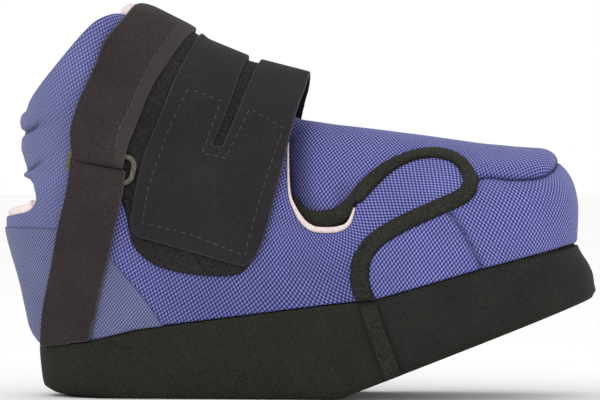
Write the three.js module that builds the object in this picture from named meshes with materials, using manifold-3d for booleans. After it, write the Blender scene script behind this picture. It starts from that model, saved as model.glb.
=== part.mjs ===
// A forefoot-relief shoe: a wedge rocker sole, a soft mesh upper with a padded lining, and wrap straps.
// Millimetres. +X runs from heel to toe, +Z is up, the floor is z = 0 and the side with the ring is -Y.
import * as THREE from "three";
import { mergeVertices } from "three/addons/utils/BufferGeometryUtils.js";
import Module from "manifold-3d";

const wasm = await Module();
wasm.setup();

// Thicknesses
const GAP = 0.3; // clearance between neighbouring pieces
const CLOTH = 2.0; // mesh wall of the upper
const PADDING = 3.5; // lining behind the mesh
const FLOOR = 3.0; // lining under the foot
const OVERLAY = 1.2; // sewn-on panels
const TAPE = 1.4; // edge binding
const FLAP = 2.0; // instep flap
const STRAP = 1.8; // outer layer of the ankle and heel straps
const PILE = 1.6; // loop-faced layer of the straps
const RING_BAR = 2.0; // ring, across the surface it lies on
const SOLE_WRAP = 1.2; // forefoot sole cover

// Widths and lengths
const RIM_WIDTH = 2.4; // lining showing along the scoop
const SEAM_WIDTH = 0.5;
const RING_LENGTH = 33.4;
const RING_HEIGHT = 15.5;
const RING_WIRE = 2.8;
const RING_CORNER = 6;
const WINDOW_CORNER = 2;
const RING_CENTRE = new THREE.Vector2(-93.3, 112);
const RING_TILT = THREE.MathUtils.degToRad(-11);
const FOLD_LENGTH = 3; // strap turning through the ring
const PILE_SETBACK = 0.8; // loop-faced layer behind the flap's edge
const REACH = 200; // beyond the whole shoe, for cutting outlines
const OVERHEAD = 210; // above the whole shoe
const STRETCH = 5; // beyond the sole's faces, for cutting its wall

// Mesh fineness
const LOWER_STEPS = 3;
const UPPER_STEPS = 5;
const RING_ARC_STEPS = 3;
const MERGE = 1e-3;
const SAME_POINT = 0.01;
const BISECTIONS = 30;
const STRAP_SHARES = { least: 0.8, most: 2 }; // of a rib's length, up to the straps' line
const FULLEST_FOOT = 0.98; // a rib's lower end against its greatest half width

// Sole plan: half width by share of the length, and how far each end is rounded.
const SOLE_MARGIN = 2; // sole beyond the lower ends of the ribs
const HEEL_ROUND = 0.13;
const TOE_ROUND = 0.19;
const TOE_POWER = 2.6;
const SOLE_WIDTHS = [
  { share: 0, half: 33 },
  { share: 0.1, half: 35 },
  { share: 0.25, half: 36 },
  { share: 0.45, half: 39.5 },
  { share: 0.65, half: 48 },
  { share: 0.78, half: 52 },
  { share: 0.9, half: 51 },
  { share: 1, half: 47 },
];
const SOLE_STATIONS = 18;
// Levels of the sole wall from the ground (0) to the upper (1), with the ends of each and its inset.
const SOLE_LEVELS = [
  { level: 0, heel: -112, toe: 142, inset: 3 },
  { level: 0.06, heel: -118.5, toe: 143, inset: 1.5 },
  { level: 0.2, heel: -123.6, toe: 142.4, inset: 0.8 },
  { level: 0.5, heel: -125.3, toe: 140.6, inset: 0.1 },
  { level: 1, heel: -125.6, toe: 134, inset: 0 },
];
const HEEL_END = -125.6;
const TOE_END = 134;
const SOLE_TOP = [
  { x: -126, z: 24.2 },
  { x: -99, z: 27.2 },
  { x: -77, z: 33 },
  { x: 22, z: 46 },
  { x: 39, z: 47.6 },
  { x: 88, z: 62 },
  { x: 134, z: 74.2 },
];
const SOLE_BOTTOM = [
  { x: -126, z: 0 },
  { x: 18.5, z: 0 },
  { x: 24, z: 1.1 },
  { x: 30, z: 3.6 },
  { x: 143, z: 48.6 },
];

// Ribs of the upper. In side view each is a straight line from its lower end (x, z) to its crown;
// half is its greatest half width, reached at the share "at" of its length; round shapes it above that.
const RIBS = [
  { name: "above_rim", x: -124, z: 180, crownX: -84, crownZ: 186.6, half: 34, at: 0.48, round: 2 },
  { name: "rim", x: -133.8, z: 132, crownX: -66, crownZ: 180.5, half: 36, at: 0.46, round: 2 },
  { name: "collar", x: -133.3, z: 117, crownX: -53, crownZ: 171.5, half: 36, at: 0.46, round: 2 },
  { name: "achilles", x: -138.2, z: 102, crownX: -41.7, crownZ: 165.4, half: 36, at: 0.45, round: 2 },
  { name: "heel_rim", x: -142.6, z: 84.4, crownX: -30, crownZ: 157, half: 36.5, at: 0.43, round: 1.9 },
  { name: "heel_back", x: -135.3, z: 54.3, crownX: -18, crownZ: 148.4, half: 37, at: 0.42, round: 1.9 },
  { name: "heel_corner", x: -124.6, z: 11, crownX: -7, crownZ: 141, half: 37.5, at: 0.42, round: 1.9 },
  { name: "heel_turn", x: -121.5, z: 11.5, crownX: -3.5, crownZ: 139, half: 37.5, at: 0.42, round: 1.9 },
  { name: "heel_side", x: -114, z: 13, crownX: -0.5, crownZ: 137.8, half: 38, at: 0.41, round: 1.9 },
  { name: "heel_seat", x: -103.8, z: 16, crownX: 2, crownZ: 136.8, half: 38, at: 0.4, round: 1.9 },
  { name: "arch_back", x: -77, z: 27, crownX: 14, crownZ: 133.4, half: 39, at: 0.36, round: 1.9 },
  { name: "arch", x: -40.7, z: 32, crownX: 30.6, crownZ: 131, half: 40.5, at: 0.33, round: 2 },
  { name: "arch_front", x: -4.4, z: 36.5, crownX: 49, crownZ: 128.5, half: 43, at: 0.32, round: 2.1 },
  { name: "ball_back", x: 29.6, z: 41, crownX: 67.4, crownZ: 126.1, half: 48, at: 0.32, round: 2.1 },
  { name: "ball", x: 58.7, z: 47, crownX: 85.8, crownZ: 123.7, half: 51.5, at: 0.33, round: 2.2 },
  { name: "toes", x: 87.8, z: 55.5, crownX: 103.3, crownZ: 121.7, half: 52, at: 0.34, round: 2.2 },
  { name: "toe_back", x: 109.6, z: 61.5, crownX: 117, crownZ: 119.8, half: 47.5, at: 0.36, round: 2.2 },
  { name: "toe_turn", x: 122.7, z: 65.5, crownX: 126.6, crownZ: 113.5, half: 39, at: 0.4, round: 2.2 },
  { name: "toe_front", x: 129.5, z: 67, crownX: 133, crownZ: 103.3, half: 30, at: 0.43, round: 2.2 },
  { name: "toe_low", x: 132.9, z: 68, crownX: 135.3, crownZ: 90.2, half: 20, at: 0.46, round: 2.1 },
  { name: "toe_tip", x: 134, z: 68.5, crownX: 134.8, crownZ: 78, half: 12, at: 0.5, round: 2 },
];
const TOE_RIB_STEP = 3; // depth inside the surface that each of the last ribs leaves room for

// Width of the tape in side view by height; it looks narrow where it lies over the top of the vamp.
const TAPE_WIDTHS = [
  { z: 0, width: 9.2 },
  { z: 60, width: 9.2 },
  { z: 80, width: 8 },
  { z: 105, width: 7.4 },
  { z: 117, width: 4.6 },
  { z: 130, width: 4.6 },
];

// The line the straps' undersides follow over the crown, in side view.
const STRAP_CROWN = [
  { x: -95, z: 190.5 },
  { x: -80.5, z: 186.8 },
  { x: -75.5, z: 186.6 },
  { x: -72, z: 185.5 },
  { x: -55, z: 177 },
  { x: -50.5, z: 174 },
  { x: -46, z: 170 },
  { x: -24, z: 161 },
  { x: 7, z: 153 },
  { x: 45, z: 141 },
];

// Side-view lines, each a row of points [x, z] that a smooth curve runs through.
const COLLAR_RIM = [
  [-150, 125], [-137, 133], [-130, 143.6], [-123.5, 151.5], [-115, 161], [-106.5, 170.5],
  [-97.5, 179.8], [-91.5, 184.2], [-86, 186], [-79, 185],
];
const THROAT_EDGE = [
  [-73, 180.5], [-60, 173], [-35, 154.5], [-15, 138], [-4, 128.5],
];
const SCOOP = [
  [-4, 128.5], [-3.8, 119.5], [-2.4, 99.9], [0.4, 91.9], [4.4, 85.7], [9.3, 82.2], [15.4, 81.5],
  [22.2, 82.2], [27.1, 85.7], [30.8, 97.9],
];
const LOBE_TOP = [[30.8, 97.9], [42, 109.3], [54.2, 116], [66, 118.2], [79, 114.2], [85, 105.2]];
const LOBE_BOTTOM = [[85, 105.2], [81.6, 98], [67.5, 91.3], [51.5, 84], [38.5, 75.5], [32.8, 66.3]];
const SIDE_SEAM = [[32.8, 66.3], [32.3, 57.5], [34.2, 50.3], [39, 36], [43.7, 22.3], [49, 8]];
const TONGUE_EDGE = [
  [-1.5, 95.5], [1, 91.5], [6.5, 88], [13.3, 87.1], [21.5, 89.1], [30.8, 97.9],
];
const TOE_SEAM = [
  [85, 105.2], [92.9, 107.2], [104, 106.1], [117, 106.7], [123.2, 109.4], [125.7, 113.3], [126, 121],
];
const HEEL_SLOT = [
  [-160, 86.6], [-144, 87.2], [-136, 88.2], [-129, 90.2], [-125.8, 94.4], [-125.8, 98.6],
  [-128.6, 103.2], [-133, 106.3], [-138, 107.6], [-160, 108.5],
];
const HEEL_SLOT_LINING = [
  [-160, 89.8], [-141, 90.4], [-137, 92.2], [-131, 93.2], [-127.2, 95.5], [-127.2, 98.6],
  [-129.6, 104.5], [-136, 109], [-160, 110],
];
const COUNTER_TOP = [
  [-170, 81.5], [-142, 82], [-113, 81.5], [-96, 77.6], [-84.8, 64], [-71.7, 48.5], [-60, 30], [-52, 10],
];
const PATCH_EDGE = [
  [-66, 112], [-74, 108], [-79.6, 107.6], [-80.8, 101], [-81.8, 95], [-80, 88], [-79, 80],
  [-75.6, 71.8], [-65.4, 64], [-50, 60.2], [-33, 59.2], [-24, 61.2], [-20, 66.5], [-17, 76], [-11, 100],
  [-7, 120], [-8, 133], [-15, 141.5], [-28, 150.5], [-42, 154], [-51, 144], [-59, 126],
];
const FLAP_LEFT = [
  [-77.7, 81], [-78.3, 85.5], [-77.3, 91], [-75.6, 102], [-71.9, 117], [-65.4, 134], [-59.2, 151],
  [-53, 165], [-49.5, 174], [-45, 185],
];
const FLAP_BOTTOM = [
  [-19.5, 66.3], [-22.5, 64.6], [-26.5, 64.6], [-45, 69.6], [-70, 76.6], [-75.5, 78.4],
  [-77.7, 81],
];
const FLAP_RIGHT = [
  [8.5, 168], [5.4, 156], [3.3, 147], [-0.3, 134.8], [-5.7, 109.6], [-12.7, 80.5], [-17, 69.5],
  [-19.5, 66.3],
];
const SLIT_BACK = [[-39.8, 121.7], [-32.8, 138.7], [-28.2, 153.3], [-25.2, 162], [-21, 174]];
const SLIT_FRONT = [[-14.5, 173], [-19, 161], [-23.2, 150.8], [-29.3, 134.8], [-35.3, 120.3]];
const ARM_END = 96; // height of the arms' plain ends on the hidden side
const ANKLE_BACK = [
  [-105.2, 108], [-105.4, 117], [-105.9, 128], [-103.6, 140.9], [-100.3, 149.5], [-95.3, 161],
  [-91, 172.5], [-82, 185], [-73, 191], [-66, 200],
];
const ANKLE_FRONT = [
  [-40, 190], [-49, 177.5], [-55, 172], [-62.7, 160], [-69.8, 147.4], [-74.8, 134.3], [-80, 119.3],
  [-82.4, 106],
];
const FOLD_BACK_END = 140; // height of the folded-back end on the hidden side
const HEEL_STRAP_BACK = [
  [-123, 10], [-122.2, 24], [-120.7, 41.7], [-116.8, 61], [-111.9, 83], [-108, 100], [-106, 115],
];
const HEEL_STRAP_FRONT = [
  [-80, 115], [-81.5, 100], [-84.8, 83], [-88.7, 66], [-93.5, 46.6], [-98.4, 24], [-101, 10],
];
const LAP_END = 89; // height where the heel strap's inner lap stops

// Heights between which a strap rises to pass the ring.
const HEEL_STRAP_RISE = { from: 60, to: 90 };
const ANKLE_STRAP_FALL = { from: 126, to: 154 };
const COUNTER_CLEAR = { from: 100, to: 118 };

// Rolls gathered into the back of the collar, from the top down.
const ROLLS = [
  { z: 132.4, half: 4.9, thick: 3 },
  { z: 119.5, half: 8, thick: 2.8 },
  { z: 108.5, half: 3.4, thick: 1.8 },
];
const ROLL_BACK = -133.4;
const ROLL_RADIUS = 32;
const ROLL_SPREAD = THREE.MathUtils.degToRad(75);
const ROLL_RISE = 8; // the rolls climb towards their ends
const ROLL_SINK = 1; // valleys between the rolls, inside the mesh
const ROLL_ROOT = 8; // depth of the gathers behind the valleys
const ROLL_STEPS = 6;
const ROLL_ARC_STEPS = 3;

// Offsets from the mesh surface at which each layer lies.
const OVERLAY_FROM = GAP;
const FLAP_FROM = GAP + OVERLAY + GAP;
const PILE_FROM = GAP;
const BAR_FROM = PILE_FROM + PILE + GAP;
const OVER_RING_FROM = BAR_FROM + RING_BAR + GAP;
const OVER_PILE_FROM = PILE_FROM + PILE + GAP;

const looks = (color, roughness, metalness = 0) => ({ color, roughness, metalness });
const MESH_BLUE = looks("#6468ad", 0.85);
const HEEL_BLUE = looks("#5f6ea0", 0.85);
const PALE_LINING = looks("#ecdfe0", 0.95);
const STRAP_BLACK = looks("#37353a", 0.9);
const PILE_BLACK = looks("#2b2a2c", 1);
const TAPE_BLACK = looks("#33342c", 0.9);
const SOLE_BLACK = looks("#2b2b27", 0.8);
const COVER_BLACK = looks("#30312e", 0.65);
const RING_METAL = looks("#8c8a7c", 0.35, 0.8);

// Solids

// Turns a closed geometry into a solid, dropping triangles that shrank to nothing.
function solidFrom(geometry) {
  geometry.deleteAttribute("normal");
  geometry.deleteAttribute("uv");
  const merged = mergeVertices(geometry, MERGE);
  const corners = merged.index.array;
  const kept = [];
  for (let i = 0; i < corners.length; i += 3) {
    const [a, b, c] = corners.slice(i, i + 3);
    if (a !== b && b !== c && c !== a) kept.push(a, b, c);
  }
  const vertProperties = merged.attributes.position.array;
  return new wasm.Manifold(new wasm.Mesh({ numProp: 3, vertProperties, triVerts: new Uint32Array(kept) }));
}

// Skins rings of points, each going up one side and down the other, and closes both ends.
function skin(rings) {
  const size = rings[0].length;
  const index = [];
  const quad = (a, b, c, d) => index.push(a, b, c, a, c, d);
  for (let r = 0; r + 1 < rings.length; r += 1) {
    for (let i = 0; i < size; i += 1) {
      const here = r * size + i;
      const next = r * size + ((i + 1) % size);
      quad(here, here + size, next + size, next);
    }
  }
  const last = (rings.length - 1) * size;
  for (let i = 0; i + 1 < size / 2; i += 1) {
    quad(i, i + 1, size - 2 - i, size - 1 - i);
    quad(last + i, last + size - 1 - i, last + size - 2 - i, last + i + 1);
  }
  const geometry = new THREE.BufferGeometry();
  const positions = rings.flat().flatMap((point) => point.toArray());
  geometry.setAttribute("position", new THREE.Float32BufferAttribute(positions, 3));
  geometry.setIndex(index);
  return solidFrom(geometry);
}

const BOTH_SIDES = { from: -REACH, to: REACH };
const RING_SIDE = { from: -REACH, to: 0 };
const HIDDEN_SIDE = { from: 0, to: REACH };

// Extrudes a side-view outline across the shoe.
function prism(outline, side = BOTH_SIDES) {
  const geometry = new THREE.ExtrudeGeometry(new THREE.Shape(outline), {
    depth: side.to - side.from,
    bevelEnabled: false,
  });
  geometry.rotateX(Math.PI / 2).translate(0, side.to, 0);
  return solidFrom(geometry);
}

// Side-view outlines

const flatPoint = ([x, z]) => new THREE.Vector2(x, z);
const smooth = (points, steps = 2) =>
  new THREE.SplineCurve(points.map(flatPoint)).getPoints((points.length - 1) * steps);
const straight = (...points) => points.map(flatPoint);
const reversed = (points) => [...points].reverse();

// A band along a line, whose width may change from point to point.
function band(line, width) {
  const widthAt = typeof width === "number" ? () => width : width;
  const shifted = (side) =>
    line.map((point, i) => {
      const before = line[Math.max(i - 1, 0)];
      const after = line[Math.min(i + 1, line.length - 1)];
      const along = after.clone().sub(before).normalize();
      return new THREE.Vector2(-along.y, along.x).multiplyScalar((side * widthAt(point)) / 2).add(point);
    });
  return [...shifted(1), ...reversed(shifted(-1))];
}

// Lines joined end to end, with each shared end kept once.
const joinedLines = (...lines) =>
  lines.flat().filter((point, i, all) => i === 0 || point.distanceTo(all[i - 1]) > SAME_POINT);
const aboveHeight = (z) => straight([-REACH, z], [REACH, z], [REACH, 2 * REACH], [-REACH, 2 * REACH]);
const belowHeight = (z) => straight([-REACH, -REACH], [REACH, -REACH], [REACH, z], [-REACH, z]);

// Value of a column of a table between its rows, with straight lines between them.
function between(rows, key, value, at) {
  const next = Math.max(1, rows.findIndex((row, i) => i > 0 && (row[key] >= at || i === rows.length - 1)));
  const a = rows[next - 1];
  const b = rows[next];
  return THREE.MathUtils.mapLinear(at, a[key], b[key], a[value], b[value]);
}

const soleTop = (x) => between(SOLE_TOP, "x", "z", x);
const soleBottom = (x) => between(SOLE_BOTTOM, "x", "z", x);
const eased = (z, { from, to }) => THREE.MathUtils.smoothstep(z, from, to);

// Half width of the sole at a share of its length.
function soleHalf(share) {
  const inside = THREE.MathUtils.clamp(share, 0, 1);
  const heel = Math.max(0, 1 - inside / HEEL_ROUND);
  const toe = Math.max(0, 1 - (1 - inside) / TOE_ROUND);
  const rounding = Math.sqrt(1 - heel ** 2) * (1 - toe ** TOE_POWER) ** (1 / TOE_POWER);
  return between(SOLE_WIDTHS, "share", "half", inside) * rounding;
}

// The sole with its wall moved out by an offset, and its top and bottom faces moved out by a stretch.
function soleSolid(offset) {
  const levels = SOLE_LEVELS.map(({ level, heel, toe, inset }) => {
    const ringSide = [];
    const hiddenSide = [];
    for (let i = 0; i <= SOLE_STATIONS; i += 1) {
      const share = (1 - Math.cos((Math.PI * i) / SOLE_STATIONS)) / 2;
      const x = THREE.MathUtils.lerp(heel - offset, toe + offset, share);
      const z = THREE.MathUtils.lerp(soleBottom(x), soleTop(x), level);
      const half = Math.max(0, soleHalf(share) - inset + offset) * Math.sign(soleHalf(share));
      ringSide.push(new THREE.Vector3(x, -half, z));
      hiddenSide.push(new THREE.Vector3(x, half, z));
    }
    return [...ringSide, ...reversed(hiddenSide)];
  });
  const raised = (loop, height) => loop.map((point) => new THREE.Vector3(point.x, point.y, point.z + height));
  return skin(reversed([raised(levels[0], -STRETCH), ...levels, raised(levels.at(-1), STRETCH)]));
}

// Share of a rib's length at which it meets the line the straps follow.
function strapShare(rib) {
  let low = STRAP_SHARES.least;
  let high = STRAP_SHARES.most;
  for (let i = 0; i < BISECTIONS; i += 1) {
    const middle = (low + high) / 2;
    const x = THREE.MathUtils.lerp(rib.x, rib.crownX, middle);
    const z = THREE.MathUtils.lerp(rib.z, rib.crownZ, middle);
    if (z < between(STRAP_CROWN, "x", "z", x)) low = middle;
    else high = middle;
  }
  return low;
}

// One rib as points from its lower end on the ring side, over the crown, to the hidden side.
function ribLoop(rib, crownShare) {
  const share = (rib.x - HEEL_END) / (TOE_END - HEEL_END);
  const foot = Math.max(0, soleHalf(share) - SOLE_MARGIN);
  const curve = 1 - Math.min(foot / rib.half, FULLEST_FOOT) ** 2;
  const start = Math.acos(Math.sqrt(curve));
  const place = (along, half) =>
    new THREE.Vector3(
      THREE.MathUtils.lerp(rib.x, rib.crownX, along),
      -half,
      THREE.MathUtils.lerp(rib.z, rib.crownZ, along),
    );
  const side = [];
  for (let i = 0; i <= LOWER_STEPS; i += 1) {
    const angle = THREE.MathUtils.lerp(start, Math.PI / 2, i / LOWER_STEPS);
    side.push(place(rib.at * (1 - Math.cos(angle) / Math.sqrt(curve)), rib.half * Math.sin(angle)));
  }
  for (let i = 1; i <= UPPER_STEPS; i += 1) {
    const angle = (Math.PI / 2) * (i / UPPER_STEPS);
    const along = rib.at + (crownShare - rib.at) * Math.sin(angle) ** (2 / rib.round);
    side.push(place(along, rib.half * Math.max(0, Math.cos(angle)) ** (2 / rib.round)));
  }
  const other = side.slice(0, -1).map((point) => new THREE.Vector3(point.x, -point.y, point.z));
  return [...side, ...reversed(other)];
}

const upperLoops = RIBS.map((rib) => ribLoop(rib, 1));
const strapLoops = RIBS.map((rib) => ribLoop(rib, strapShare(rib)));

// Outward direction at a point of the ribs' surface.
function outward(loops, r, i) {
  const size = loops[r].length;
  const joined = loops[r][0].distanceTo(loops[r][size - 1]) < 1;
  const before = i > 0 ? i - 1 : joined ? size - 2 : 0;
  const after = i + 1 < size ? i + 1 : joined ? 1 : size - 1;
  const across = loops[r][after].clone().sub(loops[r][before]);
  const along = loops[Math.min(r + 1, loops.length - 1)][i].clone().sub(loops[Math.max(r - 1, 0)][i]);
  return along.cross(across).normalize();
}

// The solid inside the ribs' surface moved out by an offset, which may change from place to place.
function form(offset, loops = upperLoops) {
  const depth = typeof offset === "number" ? Math.max(0, -offset) : 0;
  const ribs = loops.length - Math.ceil(depth / TOE_RIB_STEP);
  const shift = (point) => (typeof offset === "number" ? offset : offset(point));
  const moved = loops
    .slice(0, ribs)
    .map((loop, r) => loop.map((point, i) => outward(loops, r, i).multiplyScalar(shift(point)).add(point)));
  return skin(moved);
}

// The sole's top and bottom lines in side view, carried on past both ends of the shoe.
const tablePoint = ({ x, z }) => new THREE.Vector2(x, z);
const soleTopLine = [
  ...straight([-REACH, soleTop(-REACH)]), ...SOLE_TOP.map(tablePoint), ...straight([REACH, soleTop(REACH)]),
];
const soleBottomLine = [
  ...straight([-REACH, soleBottom(-REACH)]), ...SOLE_BOTTOM.map(tablePoint),
  ...straight([REACH, soleBottom(REACH)]),
];

// Everything above the top of the sole, lifted by a height.
const overSole = (lift) =>
  prism([
    ...soleTopLine.map(({ x, y }) => new THREE.Vector2(x, y + lift)),
    ...straight([REACH, 2 * REACH], [-REACH, 2 * REACH]),
  ]);

const standing = overSole(GAP);
const layer = (from, to, loops) => form(to, loops).subtract(form(from, loops)).intersect(standing);
const added = (from, thickness) =>
  typeof from === "number" ? from + thickness : (point) => from(point) + thickness;
const sheet = (from, thickness, loops) => layer(from, added(from, thickness), loops);

// The upper: quarter, vamp and toe

const rim = smooth(COLLAR_RIM);
const throat = smooth(THROAT_EDGE);
const scoop = smooth(SCOOP);
const lobeTop = smooth(LOBE_TOP);
const lobeBottom = smooth(LOBE_BOTTOM);
const sideSeam = smooth(SIDE_SEAM);
const toeSeam = smooth(TOE_SEAM);
const lobeEdge = joinedLines(lobeTop, lobeBottom, sideSeam);
const vampEdge = joinedLines(smooth(TONGUE_EDGE), lobeEdge);

const backOutside = straight([-REACH, 0], [-REACH, 125]);
const quarterOutline = joinedLines(backOutside, rim, throat, scoop, lobeEdge, straight([49, 0]));
const vampOutline = joinedLines(
  reversed(throat), straight([-68, OVERHEAD], [140, OVERHEAD]), reversed(toeSeam), reversed(lobeTop),
  reversed(scoop),
);
const toeOutline = joinedLines(
  reversed(sideSeam), reversed(lobeBottom), toeSeam, straight([126, 140], [REACH, 140], [REACH, 0]),
);

const mesh = sheet(-CLOTH, CLOTH);
const seams = prism(band(lobeEdge, SEAM_WIDTH))
  .add(prism(band(toeSeam, SEAM_WIDTH)))
  .add(prism(band(throat, SEAM_WIDTH)))
  .add(prism(band(scoop, RIM_WIDTH)));
const panels = mesh.subtract(seams);

// The gathered rolls bent round the back of the collar, fading out at their ends.
function gathers() {
  const rings = [];
  for (let i = 0; i <= ROLL_STEPS; i += 1) {
    const turn = THREE.MathUtils.lerp(-1, 1, i / ROLL_STEPS);
    const fade = Math.cos((turn * Math.PI) / 2);
    const place = (out, z) => {
      const angle = turn * ROLL_SPREAD;
      const x = ROLL_BACK + ROLL_RADIUS - out * Math.cos(angle);
      return new THREE.Vector3(x, out * Math.sin(angle), z + ROLL_RISE * (1 - fade));
    };
    const outer = [];
    const root = [];
    for (const { z, half, thick } of ROLLS) {
      for (let step = 0; step <= ROLL_ARC_STEPS; step += 1) {
        const angle = (Math.PI * step) / ROLL_ARC_STEPS;
        const height = z + half * Math.cos(angle);
        outer.push(place(ROLL_RADIUS - ROLL_SINK + fade * thick * Math.sin(angle), height));
        root.push(place(ROLL_RADIUS - ROLL_ROOT, height));
      }
    }
    rings.push([...outer, ...reversed(root)]);
  }
  return skin(rings);
}

const insideUpper = form(-CLOTH / 2);
const slot = prism(smooth(HEEL_SLOT));
const rolls = gathers().subtract(insideUpper).intersect(prism(quarterOutline));
const quarter = panels.intersect(prism(quarterOutline)).subtract(slot).add(rolls.subtract(slot));
const vampTop = panels.intersect(prism(vampOutline));
const toeWall = panels.intersect(prism(toeOutline));

// The lining is one padded boot whose rim stands a little proud of the mesh.
const liningOutline = [
  ...backOutside, ...rim, ...straight([-74, 182], [-66, OVERHEAD], [REACH, OVERHEAD], [REACH, 0]),
];
const lining = form(-CLOTH - GAP)
  .intersect(standing)
  .subtract(form(-CLOTH - GAP - PADDING).intersect(overSole(GAP + FLOOR)))
  .intersect(prism(liningOutline))
  .subtract(prism(smooth(HEEL_SLOT_LINING)));

// Sewn-on pieces

const overlay = sheet(OVERLAY_FROM, OVERLAY);
const counterOutline = [...smooth(COUNTER_TOP), ...straight([-REACH, 0])];
const heelCounter = overlay.intersect(prism(counterOutline));
const loopPatch = overlay.intersect(prism(PATCH_EDGE.map(flatPoint), RING_SIDE));

const soleFront = [...sideSeam, ...straight([49, -10], [REACH, -10], [REACH, 100], [30, 100])];
const soleProfile = prism([...soleBottomLine, ...reversed(soleTopLine)]);
const wholeSole = soleSolid(0).intersect(soleProfile);
const sole = wholeSole.subtract(prism(soleFront).subtract(soleSolid(-SOLE_WRAP - GAP)));
const soleCover = wholeSole
  .subtract(soleSolid(-SOLE_WRAP))
  .intersect(prism(soleFront).subtract(prism(band(sideSeam, SEAM_WIDTH))));

const upperTape = form(GAP + TAPE).subtract(form(GAP)).intersect(overSole(-GAP));
const soleTape = soleSolid(GAP + TAPE).subtract(soleSolid(GAP)).intersect(soleProfile);
const tapeWidth = ({ y }) => between(TAPE_WIDTHS, "z", "width", y);
const binding = (side) => {
  const strip = prism(band(vampEdge, tapeWidth), side);
  return upperTape.add(soleTape).intersect(strip).subtract(wholeSole);
};

// Straps

const flapBack = smooth(FLAP_LEFT);
const flapFront = smooth(FLAP_RIGHT);
const slit = [...smooth(SLIT_BACK), ...smooth(SLIT_FRONT)];
const flapOutline = joinedLines(smooth(FLAP_BOTTOM), flapBack, flapFront);
const flapLayer = sheet(FLAP_FROM, FLAP, strapLoops).subtract(prism(slit));
const instepFlap = flapLayer.intersect(prism(flapOutline)).subtract(prism(belowHeight(ARM_END), HIDDEN_SIDE));

// A band of the ring's window, measured along the straps from its middle.
function acrossRing(from, to, length) {
  const half = length / 2;
  return straight([-half, from], [half, from], [half, to], [-half, to]).map((point) =>
    point.rotateAround(new THREE.Vector2(), RING_TILT).add(RING_CENTRE),
  );
}

// Outline of the ring with rounded ends.
function ringOutline(length, height, corner) {
  const x = length / 2 - corner;
  const z = height / 2 - corner;
  const shape = new THREE.Shape();
  shape.absarc(x, -z, corner, -Math.PI / 2, 0);
  shape.absarc(x, z, corner, 0, Math.PI / 2);
  shape.absarc(-x, z, corner, Math.PI / 2, Math.PI);
  shape.absarc(-x, -z, corner, Math.PI, 1.5 * Math.PI);
  const points = joinedLines(shape.getPoints(RING_ARC_STEPS));
  return points.map((point) => point.rotateAround(new THREE.Vector2(), RING_TILT).add(RING_CENTRE));
}

const ringWindow = ringOutline(RING_LENGTH - 2 * RING_WIRE, RING_HEIGHT - 2 * RING_WIRE, WINDOW_CORNER);
const ring = sheet(BAR_FROM, RING_BAR)
  .intersect(prism(ringOutline(RING_LENGTH, RING_HEIGHT, RING_CORNER), RING_SIDE))
  .subtract(prism(ringWindow, RING_SIDE));

const ankleBack = smooth(ANKLE_BACK);
const ankleOutline = [...ankleBack, ...smooth(ANKLE_FRONT)];
const pileFront = flapBack
  .filter(({ y }) => y > RING_CENTRE.y - RING_HEIGHT)
  .map(({ x, y }) => new THREE.Vector2(x - PILE_SETBACK, y));
const pileOutline = [...ankleBack, ...reversed(pileFront)];
const heelStrapOutline = [...smooth(HEEL_STRAP_BACK), ...smooth(HEEL_STRAP_FRONT)];
const aboveFold = prism(acrossRing(GAP, 2 * REACH, 2 * REACH), RING_SIDE);
const belowFold = prism(acrossRing(-2 * REACH, -GAP, 2 * REACH), RING_SIDE);
const underFold = prism(acrossRing(-2 * REACH, GAP, 2 * REACH), RING_SIDE);
const foldDepth = OVER_RING_FROM + STRAP - PILE_FROM;

// The part of a strap that turns through the ring's window.
const foldThrough = (loops, outline, from) =>
  sheet(PILE_FROM, foldDepth, loops)
    .intersect(prism(outline, RING_SIDE))
    .intersect(prism(acrossRing(from, from + FOLD_LENGTH, REACH)));

function makeAnkleStrap() {
  const counterLift = FLAP_FROM - PILE_FROM;
  const pileFrom = ({ y, z }) => PILE_FROM + (y > 0 ? counterLift * (1 - eased(z, COUNTER_CLEAR)) : 0);
  const overFrom = ({ z }) =>
    THREE.MathUtils.lerp(OVER_RING_FROM, OVER_PILE_FROM, eased(z, ANKLE_STRAP_FALL));
  const pile = sheet(pileFrom, PILE, strapLoops)
    .intersect(prism(pileOutline).add(prism(heelStrapOutline, HIDDEN_SIDE)))
    .subtract(underFold);
  const over = sheet(overFrom, STRAP, strapLoops)
    .intersect(prism(ankleOutline))
    .subtract(underFold)
    .subtract(prism(belowHeight(FOLD_BACK_END), HIDDEN_SIDE));
  return pile.add(over).add(foldThrough(strapLoops, ankleOutline, GAP).intersect(aboveFold));
}

function makeHeelStrap() {
  const outerFrom = ({ z }) => THREE.MathUtils.lerp(FLAP_FROM, OVER_RING_FROM, eased(z, HEEL_STRAP_RISE));
  const outline = prism(heelStrapOutline, RING_SIDE).intersect(belowFold);
  const outer = sheet(outerFrom, STRAP).intersect(outline);
  const lap = sheet(PILE_FROM, PILE).intersect(outline).intersect(prism(aboveHeight(LAP_END)));
  return outer.add(lap).add(foldThrough(upperLoops, heelStrapOutline, -GAP - FOLD_LENGTH));
}

// The assembly

const shoe = new THREE.Group();
shoe.name = "metatarsal_support_shoe";

function addPiece(name, solid, material) {
  const { numProp, vertProperties, triVerts } = solid.getMesh();
  const geometry = new THREE.BufferGeometry();
  geometry.setAttribute("position", new THREE.BufferAttribute(vertProperties, numProp));
  geometry.setIndex(new THREE.BufferAttribute(triVerts, 1));
  geometry.computeVertexNormals();
  const piece = new THREE.Mesh(geometry, new THREE.MeshStandardMaterial(material));
  piece.name = name;
  shoe.add(piece);
}

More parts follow.
